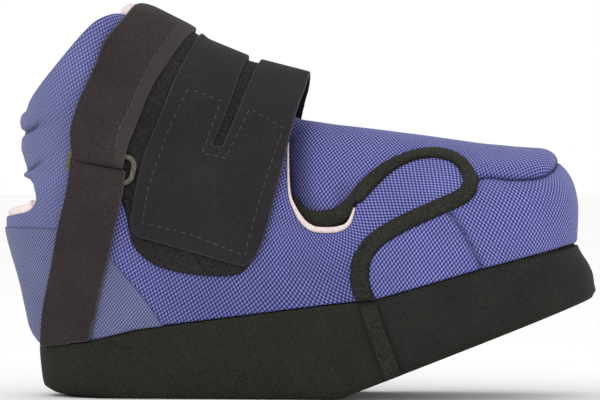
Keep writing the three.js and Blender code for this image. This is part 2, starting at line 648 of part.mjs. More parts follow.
addPiece("sole", sole, SOLE_BLACK);
addPiece("sole_cover", soleCover, COVER_BLACK);
addPiece("lining", lining, PALE_LINING);
addPiece("quarter", quarter, MESH_BLUE);
addPiece("heel_counter", heelCounter, HEEL_BLUE);
addPiece("vamp_top", vampTop, MESH_BLUE);
addPiece("toe_wall", toeWall, MESH_BLUE);
addPiece("vamp_binding_lateral", binding(RING_SIDE), TAPE_BLACK);
addPiece("vamp_binding_medial", binding(HIDDEN_SIDE), TAPE_BLACK);
addPiece("loop_patch", loopPatch, PILE_BLACK);
addPiece("instep_flap", instepFlap, STRAP_BLACK);
addPiece("ankle_strap", makeAnkleStrap(), STRAP_BLACK);
addPiece("heel_strap", makeHeelStrap(), STRAP_BLACK);
addPiece("ring", ring, RING_METAL);

export default shoe;
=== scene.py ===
import math

import bmesh
import bpy
import numpy as np
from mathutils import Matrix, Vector


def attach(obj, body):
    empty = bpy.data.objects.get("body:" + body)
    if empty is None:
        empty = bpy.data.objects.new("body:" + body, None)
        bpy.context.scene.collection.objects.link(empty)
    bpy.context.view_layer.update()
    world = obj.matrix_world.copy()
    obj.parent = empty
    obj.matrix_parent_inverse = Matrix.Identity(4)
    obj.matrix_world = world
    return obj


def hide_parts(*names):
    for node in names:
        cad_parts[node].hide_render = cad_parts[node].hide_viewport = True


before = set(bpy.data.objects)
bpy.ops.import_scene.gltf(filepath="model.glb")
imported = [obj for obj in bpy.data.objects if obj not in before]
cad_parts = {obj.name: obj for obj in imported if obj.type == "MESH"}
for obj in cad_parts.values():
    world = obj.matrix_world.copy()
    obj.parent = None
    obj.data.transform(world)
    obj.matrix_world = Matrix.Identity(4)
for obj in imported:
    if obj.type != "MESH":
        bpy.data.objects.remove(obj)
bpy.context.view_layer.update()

# A forefoot-relief shoe. Sizes are in millimetres here and become metres when a mesh is made.
# +X runs from heel to toe, +Z is up, and the side with the ring is -Y.
MM = 0.001

# Thicknesses and the offsets from the mesh surface at which each layer lies
GAP = 0.3
CLOTH = 2.0
PADDING = 3.5
FLOOR = 3.0
OVERLAY = 1.2
COUNTER_FROM = 0.1
COUNTER = 0.8
TAPE = 1.4
FLAP = 2.0
STRAP = 1.8
PILE = 1.6
RING_BAR = 2.0
FLAP_FROM = GAP + OVERLAY + GAP
PILE_FROM = GAP
BAR_FROM = PILE_FROM + PILE + GAP
OVER_RING_FROM = BAR_FROM + RING_BAR + GAP
OVER_PILE_FROM = PILE_FROM + PILE + GAP

# Widths and lengths
TAPE_WIDTHS = {60: 9.2, 80: 8, 105: 7.4, 117: 4.6}  # height: width in side view, narrow on top of the vamp
RIM_HALVES = {  # x: half the scoop rim's width
    -3: 0.5, -1: 0.7, 3: 1.1, 8: 1.3, 22: 1.3, 27: 0.9, 29.5: 0.4, 31: 0.1,
}
RIM_END = 29.5
RIM_FULLNESS = 1.15  # radius of the rolled rim, in halves of its width
RIM_SINK = 0.5  # depth of its middle, in radii
VAMP_SAG = {-10: 1.3, 10: 1.2, 40: 0.6, 60: 0.5, 90: 0.8, 110: 0.4, 122: 0}  # x: depth below the ribs
VAMP_SWELL = 1.1  # height of the padding along the toe seam
SWELL_WIDTH = 5  # of that padding, and its distance from the seam
TOE_SEAM_DEPTH = 0.8
TOE_SEAM_REACH = 5
SCOOP_DEPTH = 5.5  # the tongue lies this much lower along the scoop
SCOOP_REACH = 9
SCOOP_CLEAR = 16.2  # the lining stops this far from the scoop under the sunken tongue
SCOOP_END = (20, 31)  # between these the tongue rises to the tape
SEAM_WIDTH = 0.1
RING_LENGTH = 33.4
RING_HEIGHT = 15.5
RING_WIRE = 3
RING_SLIDE = 1.3  # towards the toe from the middle of the straps
RING_CORNER = 6
RING_CORNER_STEPS = 9
RING_SIDES = 14
RING_CENTRE = (-93.3, 112)
RING_TILT = math.radians(-11)
REACH = 200
OVERHEAD = 210

# Mesh fineness
PITCH = 1.5
LINING_PITCH = 2.4
LOWER_SHARE = 0.38  # of the way round a rib, below its widest point
LOOP_LENGTH = 165  # longest way round a rib, from its lower end to the crown
STEP = 0.004  # for slopes
BISECTIONS = 36
SMOOTH_STEPS = 6
ROW_SAMPLES = 2000
ROW_GAUGES = (-0.999, -0.7, -0.4, -0.001)  # ways round the ribs on which their spacing is measured
EDGE_LEVELS = (0, 0.25, 0.6, 1.1, 1.8)  # distances from a cut edge that get rows of points
TAPE_PITCH = 1.0
RIM_SIDES = 12
UNROLL_ROUNDS = 12
WELD = 2e-6
CUT_SNAP = 1e-5
TINY = 1e-9

# Sole
SOLE_MARGIN = 2
HEEL_ROUND = 0.13
TOE_ROUND = 0.19
TOE_POWER = 2.6
FULLEST_FOOT = 0.98
HEEL_END = -125.6
TOE_END = 134
SOLE_WIDTHS = {  # share of the length: half width
    0: 33, 0.1: 35, 0.25: 36, 0.45: 39.5, 0.65: 48, 0.78: 52, 0.9: 51, 1: 47,
}
SOLE_LEVELS = (  # level from the ground to the upper, heel end, toe end, inset
    (0, -112, 142, 3),
    (0.06, -118.5, 143, 1.5),
    (0.2, -123.9, 142.4, 0.8),
    (0.5, -125.4, 140.6, 0.1),
    (0.96, -126.3, 134.4, 0),
    (1, -126, 133.6, 0.5),
)
SOLE_TOP = {-126: 24.2, -99: 27.2, -77: 33, 22: 46, 39: 47.6, 88: 62, 134: 74.2}  # x: z
SOLE_BOTTOM = {-126: 0, 18.5: 0, 24: 1.1, 30: 3.6, 143: 48.6}
SOLE_STATIONS = 150
SOLE_ROWS = (0, 0.02, 0.04, *np.linspace(0.07, 0.95, 26), 0.97, 0.985, 1)  # levels, close at the edges
WALL_ROWS = 48
WALL_HEIGHT = 30  # about, at the forefoot
FOREFOOT_FROM = 0.6  # share of the sole's length
COVER_SPAN = (0.07, 0.975)  # levels of the forefoot cover's lower and upper edge
COVER_OFFSETS = (0.08, 0.7)  # of its two faces from the sole
TAPE_HIGHEST = 0.985  # level at which the tape on the sole ends
TAPE_OFFSETS = (0.9, 1.9)
FLOOR_SPAN = (0.025, 0.97)  # shares of the sole's length covered by the lining's floor
FLOOR_STATIONS = 70
FLOOR_LEAST_HALF = 1
FLOOR_PROFILE = ((0, 0), (0, FLOOR - 1), (1.5, FLOOR))  # inset and height, up one side

# Ribs of the upper: lower end (x, z) and crown in side view, greatest half width, the share of the
# rib's length at which it is reached, and the roundness above that
RIB_COLUMNS = ("x", "z", "crown_x", "crown_z", "half", "at", "round")
RIBS = (
    (-124, 180, -84, 186.6, 34, 0.48, 2),
    (-133.8, 132, -66, 180.5, 36, 0.46, 2),
    (-133.3, 117, -53, 171.5, 36, 0.46, 2),
    (-138.2, 102, -41.7, 165.4, 36, 0.45, 2),
    (-142.6, 84.4, -30, 157, 36.5, 0.43, 1.9),
    (-135.3, 54.3, -18, 148.4, 37, 0.42, 1.9),
    (-124.6, 11, -7, 141, 37.5, 0.42, 1.9),
    (-121.5, 11.5, -3.5, 139, 37.5, 0.42, 1.9),
    (-114, 13, -0.5, 137.8, 38, 0.41, 1.9),
    (-103.8, 16, 2, 136.8, 38, 0.4, 1.9),
    (-77, 27, 14, 133.4, 39, 0.36, 1.9),
    (-40.7, 32, 30.6, 131, 40.5, 0.33, 2),
    (-4.4, 36.5, 49, 128.5, 43, 0.32, 2.1),
    (29.6, 41, 67.4, 126.1, 48, 0.32, 2.1),
    (58.7, 47, 85.8, 123.7, 51.5, 0.33, 2.2),
    (87.8, 55.5, 103.3, 121.7, 52, 0.34, 2.2),
    (109.6, 61.5, 117, 119.8, 47.5, 0.36, 2.2),
    (122.7, 65.5, 126.6, 113.5, 39, 0.4, 2.2),
    (129.5, 67, 133, 103.3, 30, 0.43, 2.2),
    (132.9, 68, 135.3, 90.2, 20, 0.46, 2.1),
    (134, 68.5, 134.8, 78, 12, 0.5, 2),
    (134.2, 68.6, 134.5, 70, 3, 0.5, 2),
)
LAST_RIB = len(RIBS) - 1
TOP_REACH = -0.1  # the lining goes on a little past the first rib

# The line the straps' undersides follow over the crown
STRAP_CROWN = {
    -95: 190.5, -80.5: 186.8, -75.5: 186.6, -72: 185.5, -55: 177, -50.5: 174, -46: 170, -24: 161, 7: 153,
    45: 141,
}
STRAP_CROWN_BLUR = np.linspace(-1.5, 1.5, 7)
STRAP_SHARES = (0.8, 2)

# Side-view lines, each a row of points (x, z) that a smooth curve runs through
COLLAR_RIM = (
    (-150, 125), (-137, 133), (-130, 143.6), (-123.5, 151.5), (-115, 161), (-106.5, 170.5),
    (-97.5, 179.8), (-91.5, 184.2), (-86, 186), (-79, 185),
)
LINING_RIM = (
    (-150, 124), (-137, 132), (-130, 142.6), (-123.5, 150.5), (-115, 160), (-106.5, 169.5), (-97, 179),
    (-90.5, 182.6), (-85, 183.6), (-79, 183.4), (-74, 183),
)
THROAT_EDGE = (
    (-73, 180.5), (-60, 173), (-35, 154.5), (-15, 138), (-4, 128.5),
)
SCOOP = (
    (-4, 128.5), (-3.8, 119.5), (-2.4, 99.9), (0.4, 91.9), (4.4, 85.7), (9.3, 82.2), (15.4, 81.5),
    (22.2, 82.2), (27.1, 85.7), (30.8, 97.9),
)
LOBE_TOP = (
    (30.8, 97.9), (42, 109.3), (54.2, 116), (66, 118), (76, 116.1), (81.9, 111.4), (85, 105.2),
)
LOBE_BOTTOM = (
    (85, 105.2), (83.4, 99.6), (78.6, 96.3), (67.5, 91.3), (51.5, 84), (38.5, 75.5), (32.8, 66.3),
)
SIDE_SEAM = ((32.8, 66.3), (32.3, 57.5), (34.2, 50.3), (39, 36), (43.7, 22.3), (49, 8))
TONGUE_EDGE = (
    (-1.5, 95.5), (1, 91.5), (6.5, 88), (13.3, 87.1), (21.5, 89.1), (30.8, 97.9),
)
TOE_SEAM = (
    (85, 105.2), (92.9, 107.2), (104, 106.1), (117, 106.7), (123.2, 109.4), (125.7, 113.3), (126, 121),
)
TOE_DART = ((75.7, 89.6), (81.3, 81.6), (85.3, 74.3), (89.2, 66.3), (91, 61))
HEEL_SLOT = (
    (-160, 86.6), (-144, 87.2), (-136, 88.2), (-129, 90.2), (-125.8, 94.4), (-125.8, 98.6),
    (-128.6, 103.2), (-133, 106.3), (-138, 107.6), (-160, 108.5),
)
HEEL_SLOT_LINING = (
    (-160, 89.8), (-141, 90.4), (-137, 92.2), (-131, 93.2), (-127.2, 95.5), (-127.2, 98.6),
    (-129.6, 104.5), (-136, 109), (-160, 110),
)
COUNTER_TOP = (
    (-170, 81.5), (-142, 82), (-113, 81.5), (-96, 77.6), (-84.8, 64), (-71.7, 48.5), (-60, 30), (-52, 10),
)
PATCH_EDGE = (
    (-66, 118), (-76, 113.5), (-84, 111.5), (-84.4, 103), (-82.8, 96.5), (-80.4, 89), (-79, 81),
    (-75.6, 71.8), (-65.4, 64), (-50, 60.2), (-33, 59.2), (-24, 61.2), (-20, 66.5), (-17, 76),
    (-11, 100), (-7, 120), (-8, 133), (-15, 141.5), (-28, 150.5), (-42, 154), (-51, 144),
    (-59, 126), (-66, 118),
)
FLAP_LEFT = (
    (-77.7, 81), (-78.3, 85.5), (-77.3, 91), (-75.6, 102), (-71.9, 117), (-65.4, 134), (-59.2, 151),
    (-53, 165), (-49.5, 174), (-45, 185),
)
FLAP_BOTTOM = (
    (-19.5, 66.3), (-22.5, 64.6), (-26.5, 64.6), (-45, 69.6), (-70, 76.6), (-75.5, 78.4),
    (-77.7, 81),
)
FLAP_RIGHT = (
    (8.5, 168), (5.4, 156), (3.3, 147), (-0.3, 134.8), (-5.7, 109.6), (-12.7, 80.5), (-17, 69.5),
    (-19.5, 66.3),
)
SLIT_BACK = ((-39.8, 121.7), (-32.8, 138.7), (-28.2, 153.3), (-25.2, 162), (-21, 174))
SLIT_FRONT = ((-14.5, 173), (-19, 161), (-23.2, 150.8), (-29.3, 134.8), (-35.3, 120.3))
ANKLE_BACK = (
    (-105.2, 108), (-105.4, 117), (-105.9, 128), (-103.6, 140.9), (-100.3, 149.5), (-95.3, 161),
    (-91, 172.5), (-80.8, 185), (-71, 190.6), (-66, 200),
)
ANKLE_FRONT = (
    (-40, 190), (-49, 177.5), (-55, 172), (-62.7, 160), (-69.8, 147.4), (-74.8, 134.3),
    (-80, 119.3), (-82.4, 106),
)
HEEL_STRAP_BACK = (
    (-123, 10), (-122.2, 24), (-120.7, 41.7), (-116.8, 61), (-111.9, 83), (-108, 100), (-106, 115),
)
HEEL_STRAP_FRONT = (
    (-80, 115), (-81.5, 100), (-84.8, 83), (-88.7, 66), (-93.5, 46.6), (-98.4, 24), (-101, 10),
)

# Straight corners that close the outlines outside the shoe
BACK_CORNERS = ((-REACH, 0), (-REACH, 125))
SEAM_FOOT = (49, 0)
VAMP_CORNERS = ((-68, OVERHEAD), (140, OVERHEAD))
TOE_CORNERS = ((126, 140), (REACH, 140), (REACH, 0))
DART_CORNERS = ((91, 0), (REACH, 0), (REACH, 140), (70, 140), (70, 95))
LINING_CORNERS = ((-66, OVERHEAD), (REACH, OVERHEAD), (REACH, 0))
SOLE_FRONT_CORNERS = ((49, -10), (REACH, -10), (REACH, 100), (30, 100))
COUNTER_CORNER = (-REACH, 0)

# How far the straps and the patch reach, and where they rise and fall
SLIT_LAP = 4  # of the tab behind the slit
ARM_END = 96
FOLD_BACK_END = 140
PILE_SETBACK = -1.5  # negative where the loop-faced layer tucks under the flap
HEEL_STRAP_RISE = (60, 90)
ANKLE_STRAP_FALL = (126, 154)
COUNTER_CLEAR = (100, 118)

# Where the two straps turn into the ring
FOLD_RADIUS = 3.6
FOLD_DROP = 4.1
FOLD_LEAST = 0.3  # share of the drop at the heel side of the ring
FOLD_SPREAD = (-14, 4)
FOLD_GAP = 0.06  # between the two straps

# Seams sewn in the straps, in side view
FLAP_SEAM = (
    (-52.3, 148), (-62, 125), (-70, 100), (-72.2, 84.4), (-50, 79), (-22.7, 68.9), (-15.9, 95), (-5.7, 128.5),
    (-22.7, 138.2), (-33.4, 115), (-44.5, 117.4), (-36.3, 141.6), (-52.3, 148),
)
ANKLE_SEAM = (
    (-58.2, 178), (-64.4, 169.3), (-70.2, 160.1), (-76.1, 147.4), (-79.9, 137.7), (-83.8, 129),
    (-85.3, 119.8),
)
ANKLE_HEM_CORNERS = ((-85.3, 100), (0, 100), (0, 205), (-42, 205), (-50, 188))
HEM_SHARE = 0.28
STITCH_LENGTH = 2.6
STITCH_GAP = 1.5
STITCH_RADIUS = 0.2
STITCH_PROFILE = (0.5, 1, 1, 1, 0.5)  # thickness along a stitch, in radii
STITCH_SINK = 0.8  # depth of its ends, and height of its middle, in radii
STITCH_SIDES = 6

# Rolls gathered into the back of the collar, from the top down: height, half height, thickness
ROLLS = ((132.4, 4.9, 2.7), (119.5, 8, 2.8), (108.2, 3.4, 1.5))
ROLL_VALLEYS = {103: -3, 108: -3.5, 111.5: -2.8, 119: -1, 127.5: -1, 137: -0.5, 142: 0}  # height: depth
ROLL_BACK = -133.4
ROLL_RADIUS = 32
ROLL_SPREAD = math.radians(80)
ROLL_RISE = 8
ROLL_END = 8  # height over which the lowest valley ends

# Padded ends of the lining, at the top of the collar and along the heel slot's lower edge
LINING_ROLL_CENTRE = (-80.4, 0, 184.6)
LINING_ROLL_RADII = (6.6, 17, 5.8)
LINING_ROLL_ROWS = 16
LINING_ROLL_COLUMNS = 32
HEEL_ROLL = ((-141, 88.8), (-136, 90), (-131, 90.9), (-127.8, 93))  # (x, z) along the slot's lower edge
HEEL_ROLL_RADIUS = 2.5
HEEL_ROLL_SINK = 1.1  # depth of its middle, in radii

# Creases between the rolls, and how the cloth sinks in its creases and seams and gets painted shade there, on
# its low side and over the vamp
CREASES = (
    ((-138, 126.4), (-133, 127.4), (-127.5, 129.6), (-121, 134)),
    ((-138, 109.6), (-133, 110.4), (-128, 111.8), (-121, 115)),
)
HEEL_TUCK = {24: 4, 26.5: 2.4, 30: 0.9, 34: 0}  # height: depth
HEEL_TUCK_END = (-115, -85)
CREASE_DEPTH = 1.5
CREASE_WIDTH = 0.9
CREASE_END = (-129, -119)
CREASE_SHADE = 0.8
SCOOP_SHADE = 0.8
DART_DEPTH = 1.1
DART_WIDTH = 1.5
DART_SHADE = 0.4
DART_TURN = math.radians(-20)  # of the weave beyond the dart
SEAM_SHADE = 0.45
VAMP_SEAM_SHADOW = 1.8  # width of the painted shade along the toe seam, above it and below it
WALL_SEAM_SHADOW = 1.4
GREYER_FROM = (75, 128)  # how far behind the middle of the shoe the cloth begins and ends to turn greyer and paler, its weave stretched and a sheen painted on
GREYER_AT_BACK = 0.65
GREYER_PER_ROLL = 0.5  # to each millimetre of a roll's height
GREYER_MOST = 0.85
LOW_SHADE = 0.22  # painted shade of the side where it turns in towards the sole
LOW_SIDE = (60, 105)
MIDDLE_FROM = (-100, -50)
TOP_SHADE = 0.1  # painted shade over the top of the vamp

# Weave of the mesh
LOOP_PITCH = 1.9  # from loop to loop along a row
ROW_PITCH = 1.35
WEAVE_TURN = math.radians(10)
WANDER_SCALE = 0.35
WANDER_REACH = 0.5
# colour of the painted shade in creases, seams, the scoop, the low side and over the vamp
PAINTED_SHADE_TINT = "17163a"

# The photo's view, and the studio in metres
PHOTO_SCALE = 0.485  # millimetres to a pixel of the 600 by 400 frame
PHOTO_WIDTH = 600
SENSOR_WIDTH = 36
CAMERA_DISTANCE = 2.5
CAMERA_TURN = math.radians(4)
CAMERA_RISE = math.radians(1)
CAMERA_AIM = Vector((0.0005, 0, 0.095))
FLOOR_REACH = 6
SQUARE = ((-1, -1), (1, -1), (1, 1), (-1, 1))
LIGHTS = (  # name, place, size and power
    ("key", (-0.5, -1.6, 1.5), 1.2, 5),
    ("fill", (1.3, -1.1, 0.7), 1.0, 1.5),
    ("rim", (0.2, 1.0, 1.3), 1.2, 0.4),
)


# Curves and distances in side view


def flowing(values, at, steady=False):
    """Values at fractional rows, along a smooth curve through the rows; a steady one never overshoots."""
    values = np.asarray(values, float)
    steps = np.diff(values)
    before = np.concatenate([steps[:1] if steady else [0], steps])
    after = np.concatenate([steps, steps[-1:] if steady else [0]])
    slopes = (before + after) / 2
    if steady:
        most = 2 * np.minimum(np.abs(before), np.abs(after))
        slopes = np.where(before * after > 0, np.clip(slopes, -most, most), 0)
    row = np.clip(np.floor(at).astype(int), 0, len(steps) - 1)
    share = at - row
    slope_in, slope_out, rise = slopes[row], slopes[row + 1], steps[row]
    cubic = slope_in + slope_out - 2 * rise
    return values[row] + share * (slope_in + share * (3 * rise - 2 * slope_in - slope_out + share * cubic))


def smooth(points):
    table = np.array(points, float)
    at = np.linspace(0, len(table) - 1, (len(table) - 1) * SMOOTH_STEPS + 1)
    return np.column_stack([flowing(table[:, 0], at), flowing(table[:, 1], at)])


def joined(*lines):
    return np.concatenate([np.array(line, float).reshape(-1, 2) for line in lines])


def to_line(line, x, z):
    """Distance of side-view points from a row of straight stretches."""
    best = np.full(np.shape(x), np.inf)
    for (ax, az), (bx, bz) in zip(line[:-1], line[1:]):
        dx, dz = bx - ax, bz - az
        square = dx * dx + dz * dz
        if square == 0:
            continue
        share = np.clip(((x - ax) * dx + (z - az) * dz) / square, 0, 1)
        best = np.minimum(best, np.hypot(x - ax - share * dx, z - az - share * dz))
    return best


def close_to(line, base, width):
    """1 at places on a side-view line, fading to 0 within about two widths."""
    return np.exp(-((to_line(line, base[:, 0], base[:, 2]) / width) ** 2))


def inside(outline, x, z):
    """Distance of side-view points from an outline, positive inside it."""
    ring = joined(outline, outline[:1])
    odd = np.zeros(np.shape(x), bool)
    for (ax, az), (bx, bz) in zip(ring[:-1], ring[1:]):
        if az == bz:
            continue
        crosses = (az > z) != (bz > z)
        odd ^= crosses & (x < ax + (z - az) * (bx - ax) / (bz - az))
    return np.where(odd, 1, -1) * to_line(ring, x, z)


def along_ring(x, z):
    """Side-view points measured from the ring's middle: along it, and across it."""
    dx, dz = x - RING_CENTRE[0], z - RING_CENTRE[1]
    cos, sin = math.cos(RING_TILT), math.sin(RING_TILT)
    return dx * cos + dz * sin, dz * cos - dx * sin


def eased(value, span):
    share = np.clip((value - span[0]) / (span[1] - span[0]), 0, 1)
    return share * share * (3 - 2 * share)


def table_at(table, x):
    return np.interp(x, list(table), list(table.values()))


def past_ends(table, x):
    """A table's value at x, carried on straight past both ends."""
    keys = list(table)
    first = (table[keys[1]] - table[keys[0]]) / (keys[1] - keys[0])
    final = (table[keys[-1]] - table[keys[-2]]) / (keys[-1] - keys[-2])
    beyond = np.minimum(x - keys[0], 0) * first + np.maximum(x - keys[-1], 0) * final
    return table_at(table, x) + beyond


def sole_top(x):
    return past_ends(SOLE_TOP, x)


# The surface of the upper


def sole_half(share):
    share = np.clip(share, 0, 1)
    heel = np.maximum(0, 1 - share / HEEL_ROUND)
    toe = np.maximum(0, 1 - (1 - share) / TOE_ROUND)
    return table_at(SOLE_WIDTHS, share) * np.sqrt(1 - heel**2) * (1 - toe**TOE_POWER) ** (1 / TOE_POWER)


def rib_at(s):
    """The columns of the ribs' table at fractional rows."""
    table = np.array(RIBS, float)
    return {name: flowing(table[:, i], s, steady=True) for i, name in enumerate(RIB_COLUMNS)}


def strap_share(rib):
    """Share of a rib's length at which it meets the line the straps follow."""
    low = np.full_like(rib["x"], STRAP_SHARES[0])
    high = np.full_like(rib["x"], STRAP_SHARES[1])
    for _ in range(BISECTIONS):
        middle = (low + high) / 2
        x = rib["x"] + (rib["crown_x"] - rib["x"]) * middle
        z = rib["z"] + (rib["crown_z"] - rib["z"]) * middle
        line = sum(past_ends(STRAP_CROWN, x + shift) for shift in STRAP_CROWN_BLUR) / len(STRAP_CROWN_BLUR)
        low = np.where(z < line, middle, low)
        high = np.where(z < line, high, middle)
    return low


def rib_start(rib):
    """How far a rib's lower end is tucked in, and the angle at which its lower arc starts."""
    foot = np.maximum(0, sole_half((rib["x"] - HEEL_END) / (TOE_END - HEEL_END)) - SOLE_MARGIN)
    tuck = np.sqrt(1 - np.minimum(foot / rib["half"], FULLEST_FOOT) ** 2)
    return tuck, np.arccos(tuck)


def surface(s, w, strap=False):
    """Points of the upper at rib s; w is 0 at the crown, -1 at the ring side's foot and 1 at the other's."""
    rib = rib_at(s)
    crown = strap_share(rib) if strap else 1
    tuck, start = rib_start(rib)
    up = 1 - np.abs(w)
    low_angle = start + (np.pi / 2 - start) * np.clip(up / LOWER_SHARE, None, 1)
    high_angle = np.pi / 2 * np.clip((up - LOWER_SHARE) / (1 - LOWER_SHARE), 0, 1)
    power = 2 / rib["round"]
    low = up < LOWER_SHARE
    along_low = rib["at"] * (1 - np.cos(low_angle) / tuck)
    along_high = rib["at"] + (crown - rib["at"]) * np.sin(high_angle) ** power
    along = np.where(low, along_low, along_high)
    rounded = np.where(low, np.sin(low_angle), np.maximum(0, np.cos(high_angle)) ** power)
    x = rib["x"] + (rib["crown_x"] - rib["x"]) * along
    z = rib["z"] + (rib["crown_z"] - rib["z"]) * along
    return np.column_stack([x, np.sign(w) * rib["half"] * rounded, z])


def outward(s, w, strap=False):
    """Outward directions of the surface."""
    along = surface(np.minimum(s + STEP, LAST_RIB), w, strap) - surface(s - STEP, w, strap)
    across = surface(s, np.minimum(w + STEP, 1), strap) - surface(s, np.maximum(w - STEP, -1), strap)
    normal = np.cross(along, across)
    return normal / np.maximum(np.linalg.norm(normal, axis=1, keepdims=True), TINY)


def locate(x, z, strap=False):
    """Rib and way round it of side-view points on the ring side."""
    low, high = np.zeros_like(x), np.full_like(x, LAST_RIB)
    for _ in range(BISECTIONS):
        middle = (low + high) / 2
        rib = rib_at(middle)
        dx, dz = rib["crown_x"] - rib["x"], rib["crown_z"] - rib["z"]
        toe_side = dx * (z - rib["z"]) - dz * (x - rib["x"]) < 0
        low = np.where(toe_side, middle, low)
        high = np.where(toe_side, high, middle)
    rib = rib_at(low)
    dx, dz = rib["crown_x"] - rib["x"], rib["crown_z"] - rib["z"]
    along = ((x - rib["x"]) * dx + (z - rib["z"]) * dz) / (dx * dx + dz * dz)
    tuck, start = rib_start(rib)
    crown = strap_share(rib) if strap else 1
    low_angle = np.arccos(np.clip((1 - along / rib["at"]) * tuck, 0, 1))
    upper = np.clip((along - rib["at"]) / (crown - rib["at"]), 0, 1)
    high_angle = np.arcsin(upper ** (rib["round"] / 2))
    up_low = LOWER_SHARE * (low_angle - start) / (np.pi / 2 - start)
    up_high = LOWER_SHARE + (1 - LOWER_SHARE) * high_angle / (np.pi / 2)
    return low, np.where(along < rib["at"], up_low, up_high) - 1


def row_places(pitch, first):
    """Ribs so close that no two neighbours are further apart than the pitch."""
    fine = np.linspace(first, LAST_RIB, ROW_SAMPLES)
    steps = [
        np.linalg.norm(np.diff(surface(fine, np.full_like(fine, w)), axis=0), axis=1)
        for w in ROW_GAUGES
    ]
    length = np.concatenate([[0], np.cumsum(np.max(steps, axis=0))])
    return np.interp(np.arange(0, length[-1], pitch), length, fine)


# Cutting panels out of the surface


class Panel:
    """Part of a grid of places whose distance from an edge is positive, cut along that edge."""

    def __init__(self, edge, first, second, faces):
        self.edge, self.first, self.second, self.faces = edge, first, second, faces


def cut_grid(distance, first, second, levels):
    """Cuts a grid at the level 0 of a distance, with extra rows of points at the other levels."""
    mesh = bmesh.new()
    near = np.maximum.reduce([distance[:-1, :-1], distance[1:, :-1], distance[:-1, 1:], distance[1:, 1:]]) > 0
    made = {}

    def vertex(r, c):
        if (r, c) not in made:
            made[r, c] = mesh.verts.new((distance[r, c], first[r, c], second[r, c]))
        return made[r, c]

    for r, c in zip(*np.nonzero(near)):
        mesh.faces.new([vertex(r, c), vertex(r + 1, c), vertex(r + 1, c + 1), vertex(r, c + 1)])
    for level in levels:
        bmesh.ops.bisect_plane(
            mesh,
            geom=mesh.verts[:] + mesh.edges[:] + mesh.faces[:],
            dist=CUT_SNAP,
            plane_co=(level, 0, 0),
            plane_no=(1, 0, 0),
            clear_inner=level == levels[0],
        )
    mesh.verts.index_update()
    places = np.array([v.co[:] for v in mesh.verts])
    faces = [[v.index for v in f.verts] for f in mesh.faces]
    mesh.free()
    return Panel(places[:, 0], places[:, 1], places[:, 2], faces)


def cut_panel(distance, side=-1, pitch=PITCH, strap=False, levels=EDGE_LEVELS, top=0.0):
    """The part of one side of the upper where a side-view distance is positive."""
    columns = int(LOOP_LENGTH / pitch)
    s, w = np.meshgrid(row_places(pitch, top), side * np.linspace(0, 1, columns + 1), indexing="ij")
    points = surface(s.ravel(), w.ravel(), strap)
    gauge = distance(points[:, 0], points[:, 2]).reshape(s.shape)
    return cut_grid(gauge, s, w, levels)


def rounded_edge(edge, radius, least=0.25):
    """Share of its full thickness that a sheet has at a distance from its edge."""
    share = np.clip(edge / radius, 0, 1)
    return least + (1 - least) * np.sqrt(1 - (1 - share) ** 2)


def lofted(lines, loop_lines=False, loop_points=False):
    """Points of a row of lines and the faces between neighbours; lines or points may close in a loop."""
    count = len(lines[0])
    faces = []
    for k in range(len(lines) if loop_lines else len(lines) - 1):
        here, there = k * count, (k + 1) % len(lines) * count
        for i in range(count if loop_points else count - 1):
            after = (i + 1) % count
            faces.append([here + i, here + after, there + after, there + i])
    return np.concatenate(lines), faces


def capped(lines):
    """A solid whose sides are lines running along it, closed at both ends."""
    points, faces = lofted(lines, loop_lines=True)
    starts = list(range(0, len(points), len(lines[0])))
    ends = [start + len(lines[0]) - 1 for start in reversed(starts)]
    return points, faces + [starts, ends]


def shell(faces, upper, lower, on_crown):
    """A closed sheet between two copies of a panel; its edge is left open along the crown."""
    count = len(upper)
    sides = {}
    for face in faces:
        for a, b in zip(face, face[1:] + face[:1]):
            key = (min(a, b), max(a, b))
            sides[key] = None if key in sides else (a, b)
    rims = [pair for pair in sides.values() if pair and not (on_crown[pair[0]] and on_crown[pair[1]])]
    closed = [list(face) for face in faces]
    closed += [[i + count for i in reversed(face)] for face in faces]
    closed += [[b, a, a + count, b + count] for a, b in rims]
    return np.concatenate([upper, lower]), closed


class Part:
    """Points, faces and values at the points, gathered until a piece is made of them."""

    PLAIN = {"edge": 99.0, "shade": 0.0, "grey": 0.0}  # values where a piece gives none

    def __init__(self):
        self.points, self.faces, self.cloth = [], [], []
        self.values = {key: [] for key in self.PLAIN}
        self.count = 0

    def add(self, points, faces, cloth=None, mirrored=False, **values):
        sign = -1 if mirrored else 1
        self.points.append(points * np.array([1, sign, 1]))
        self.faces += [[i + self.count for i in (reversed(f) if mirrored else f)] for f in faces]
        self.cloth.append(np.zeros((len(points), 2)) if cloth is None else cloth)
        for key, plain in self.PLAIN.items():
            self.values[key].append(values.get(key, np.full(len(points), plain)))
        self.count += len(points)

    def make(self, name, material, slot, node=None):
        mesh = bpy.data.meshes.new(name)
        mesh.from_pydata((np.concatenate(self.points) * MM).tolist(), [], self.faces)
        layer = mesh.uv_layers.new(name="cloth")
        cloth = np.concatenate(self.cloth)
        corners = np.empty(len(mesh.loops), int)
        mesh.loops.foreach_get("vertex_index", corners)
        layer.data.foreach_set("uv", cloth[corners].ravel())
        for key, values in self.values.items():
            stored = mesh.attributes.new(key, "FLOAT", "POINT")
            stored.data.foreach_set("value", np.concatenate(values).astype(np.float32))
        work = bmesh.new()
        work.from_mesh(mesh)
        bmesh.ops.remove_doubles(work, verts=work.verts, dist=WELD)
        bmesh.ops.dissolve_degenerate(work, edges=work.edges, dist=WELD)
        bmesh.ops.triangulate(work, faces=[f for f in work.faces if len(f.verts) > 4])
        bmesh.ops.recalc_face_normals(work, faces=work.faces)
        for face in work.faces:
            face.smooth = True
        work.to_mesh(mesh)
        work.free()
        piece = bpy.data.objects.new(name, mesh)
        bpy.context.collection.objects.link(piece)
        mesh.materials.append(material)
        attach(piece, "root")
        if node:
            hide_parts(node)
        return piece


def at_places(offset, base, edge):
    """An offset from the upper, given as a number or as a function of the places."""
    return offset(base, edge) if callable(offset) else np.full(len(base), offset)


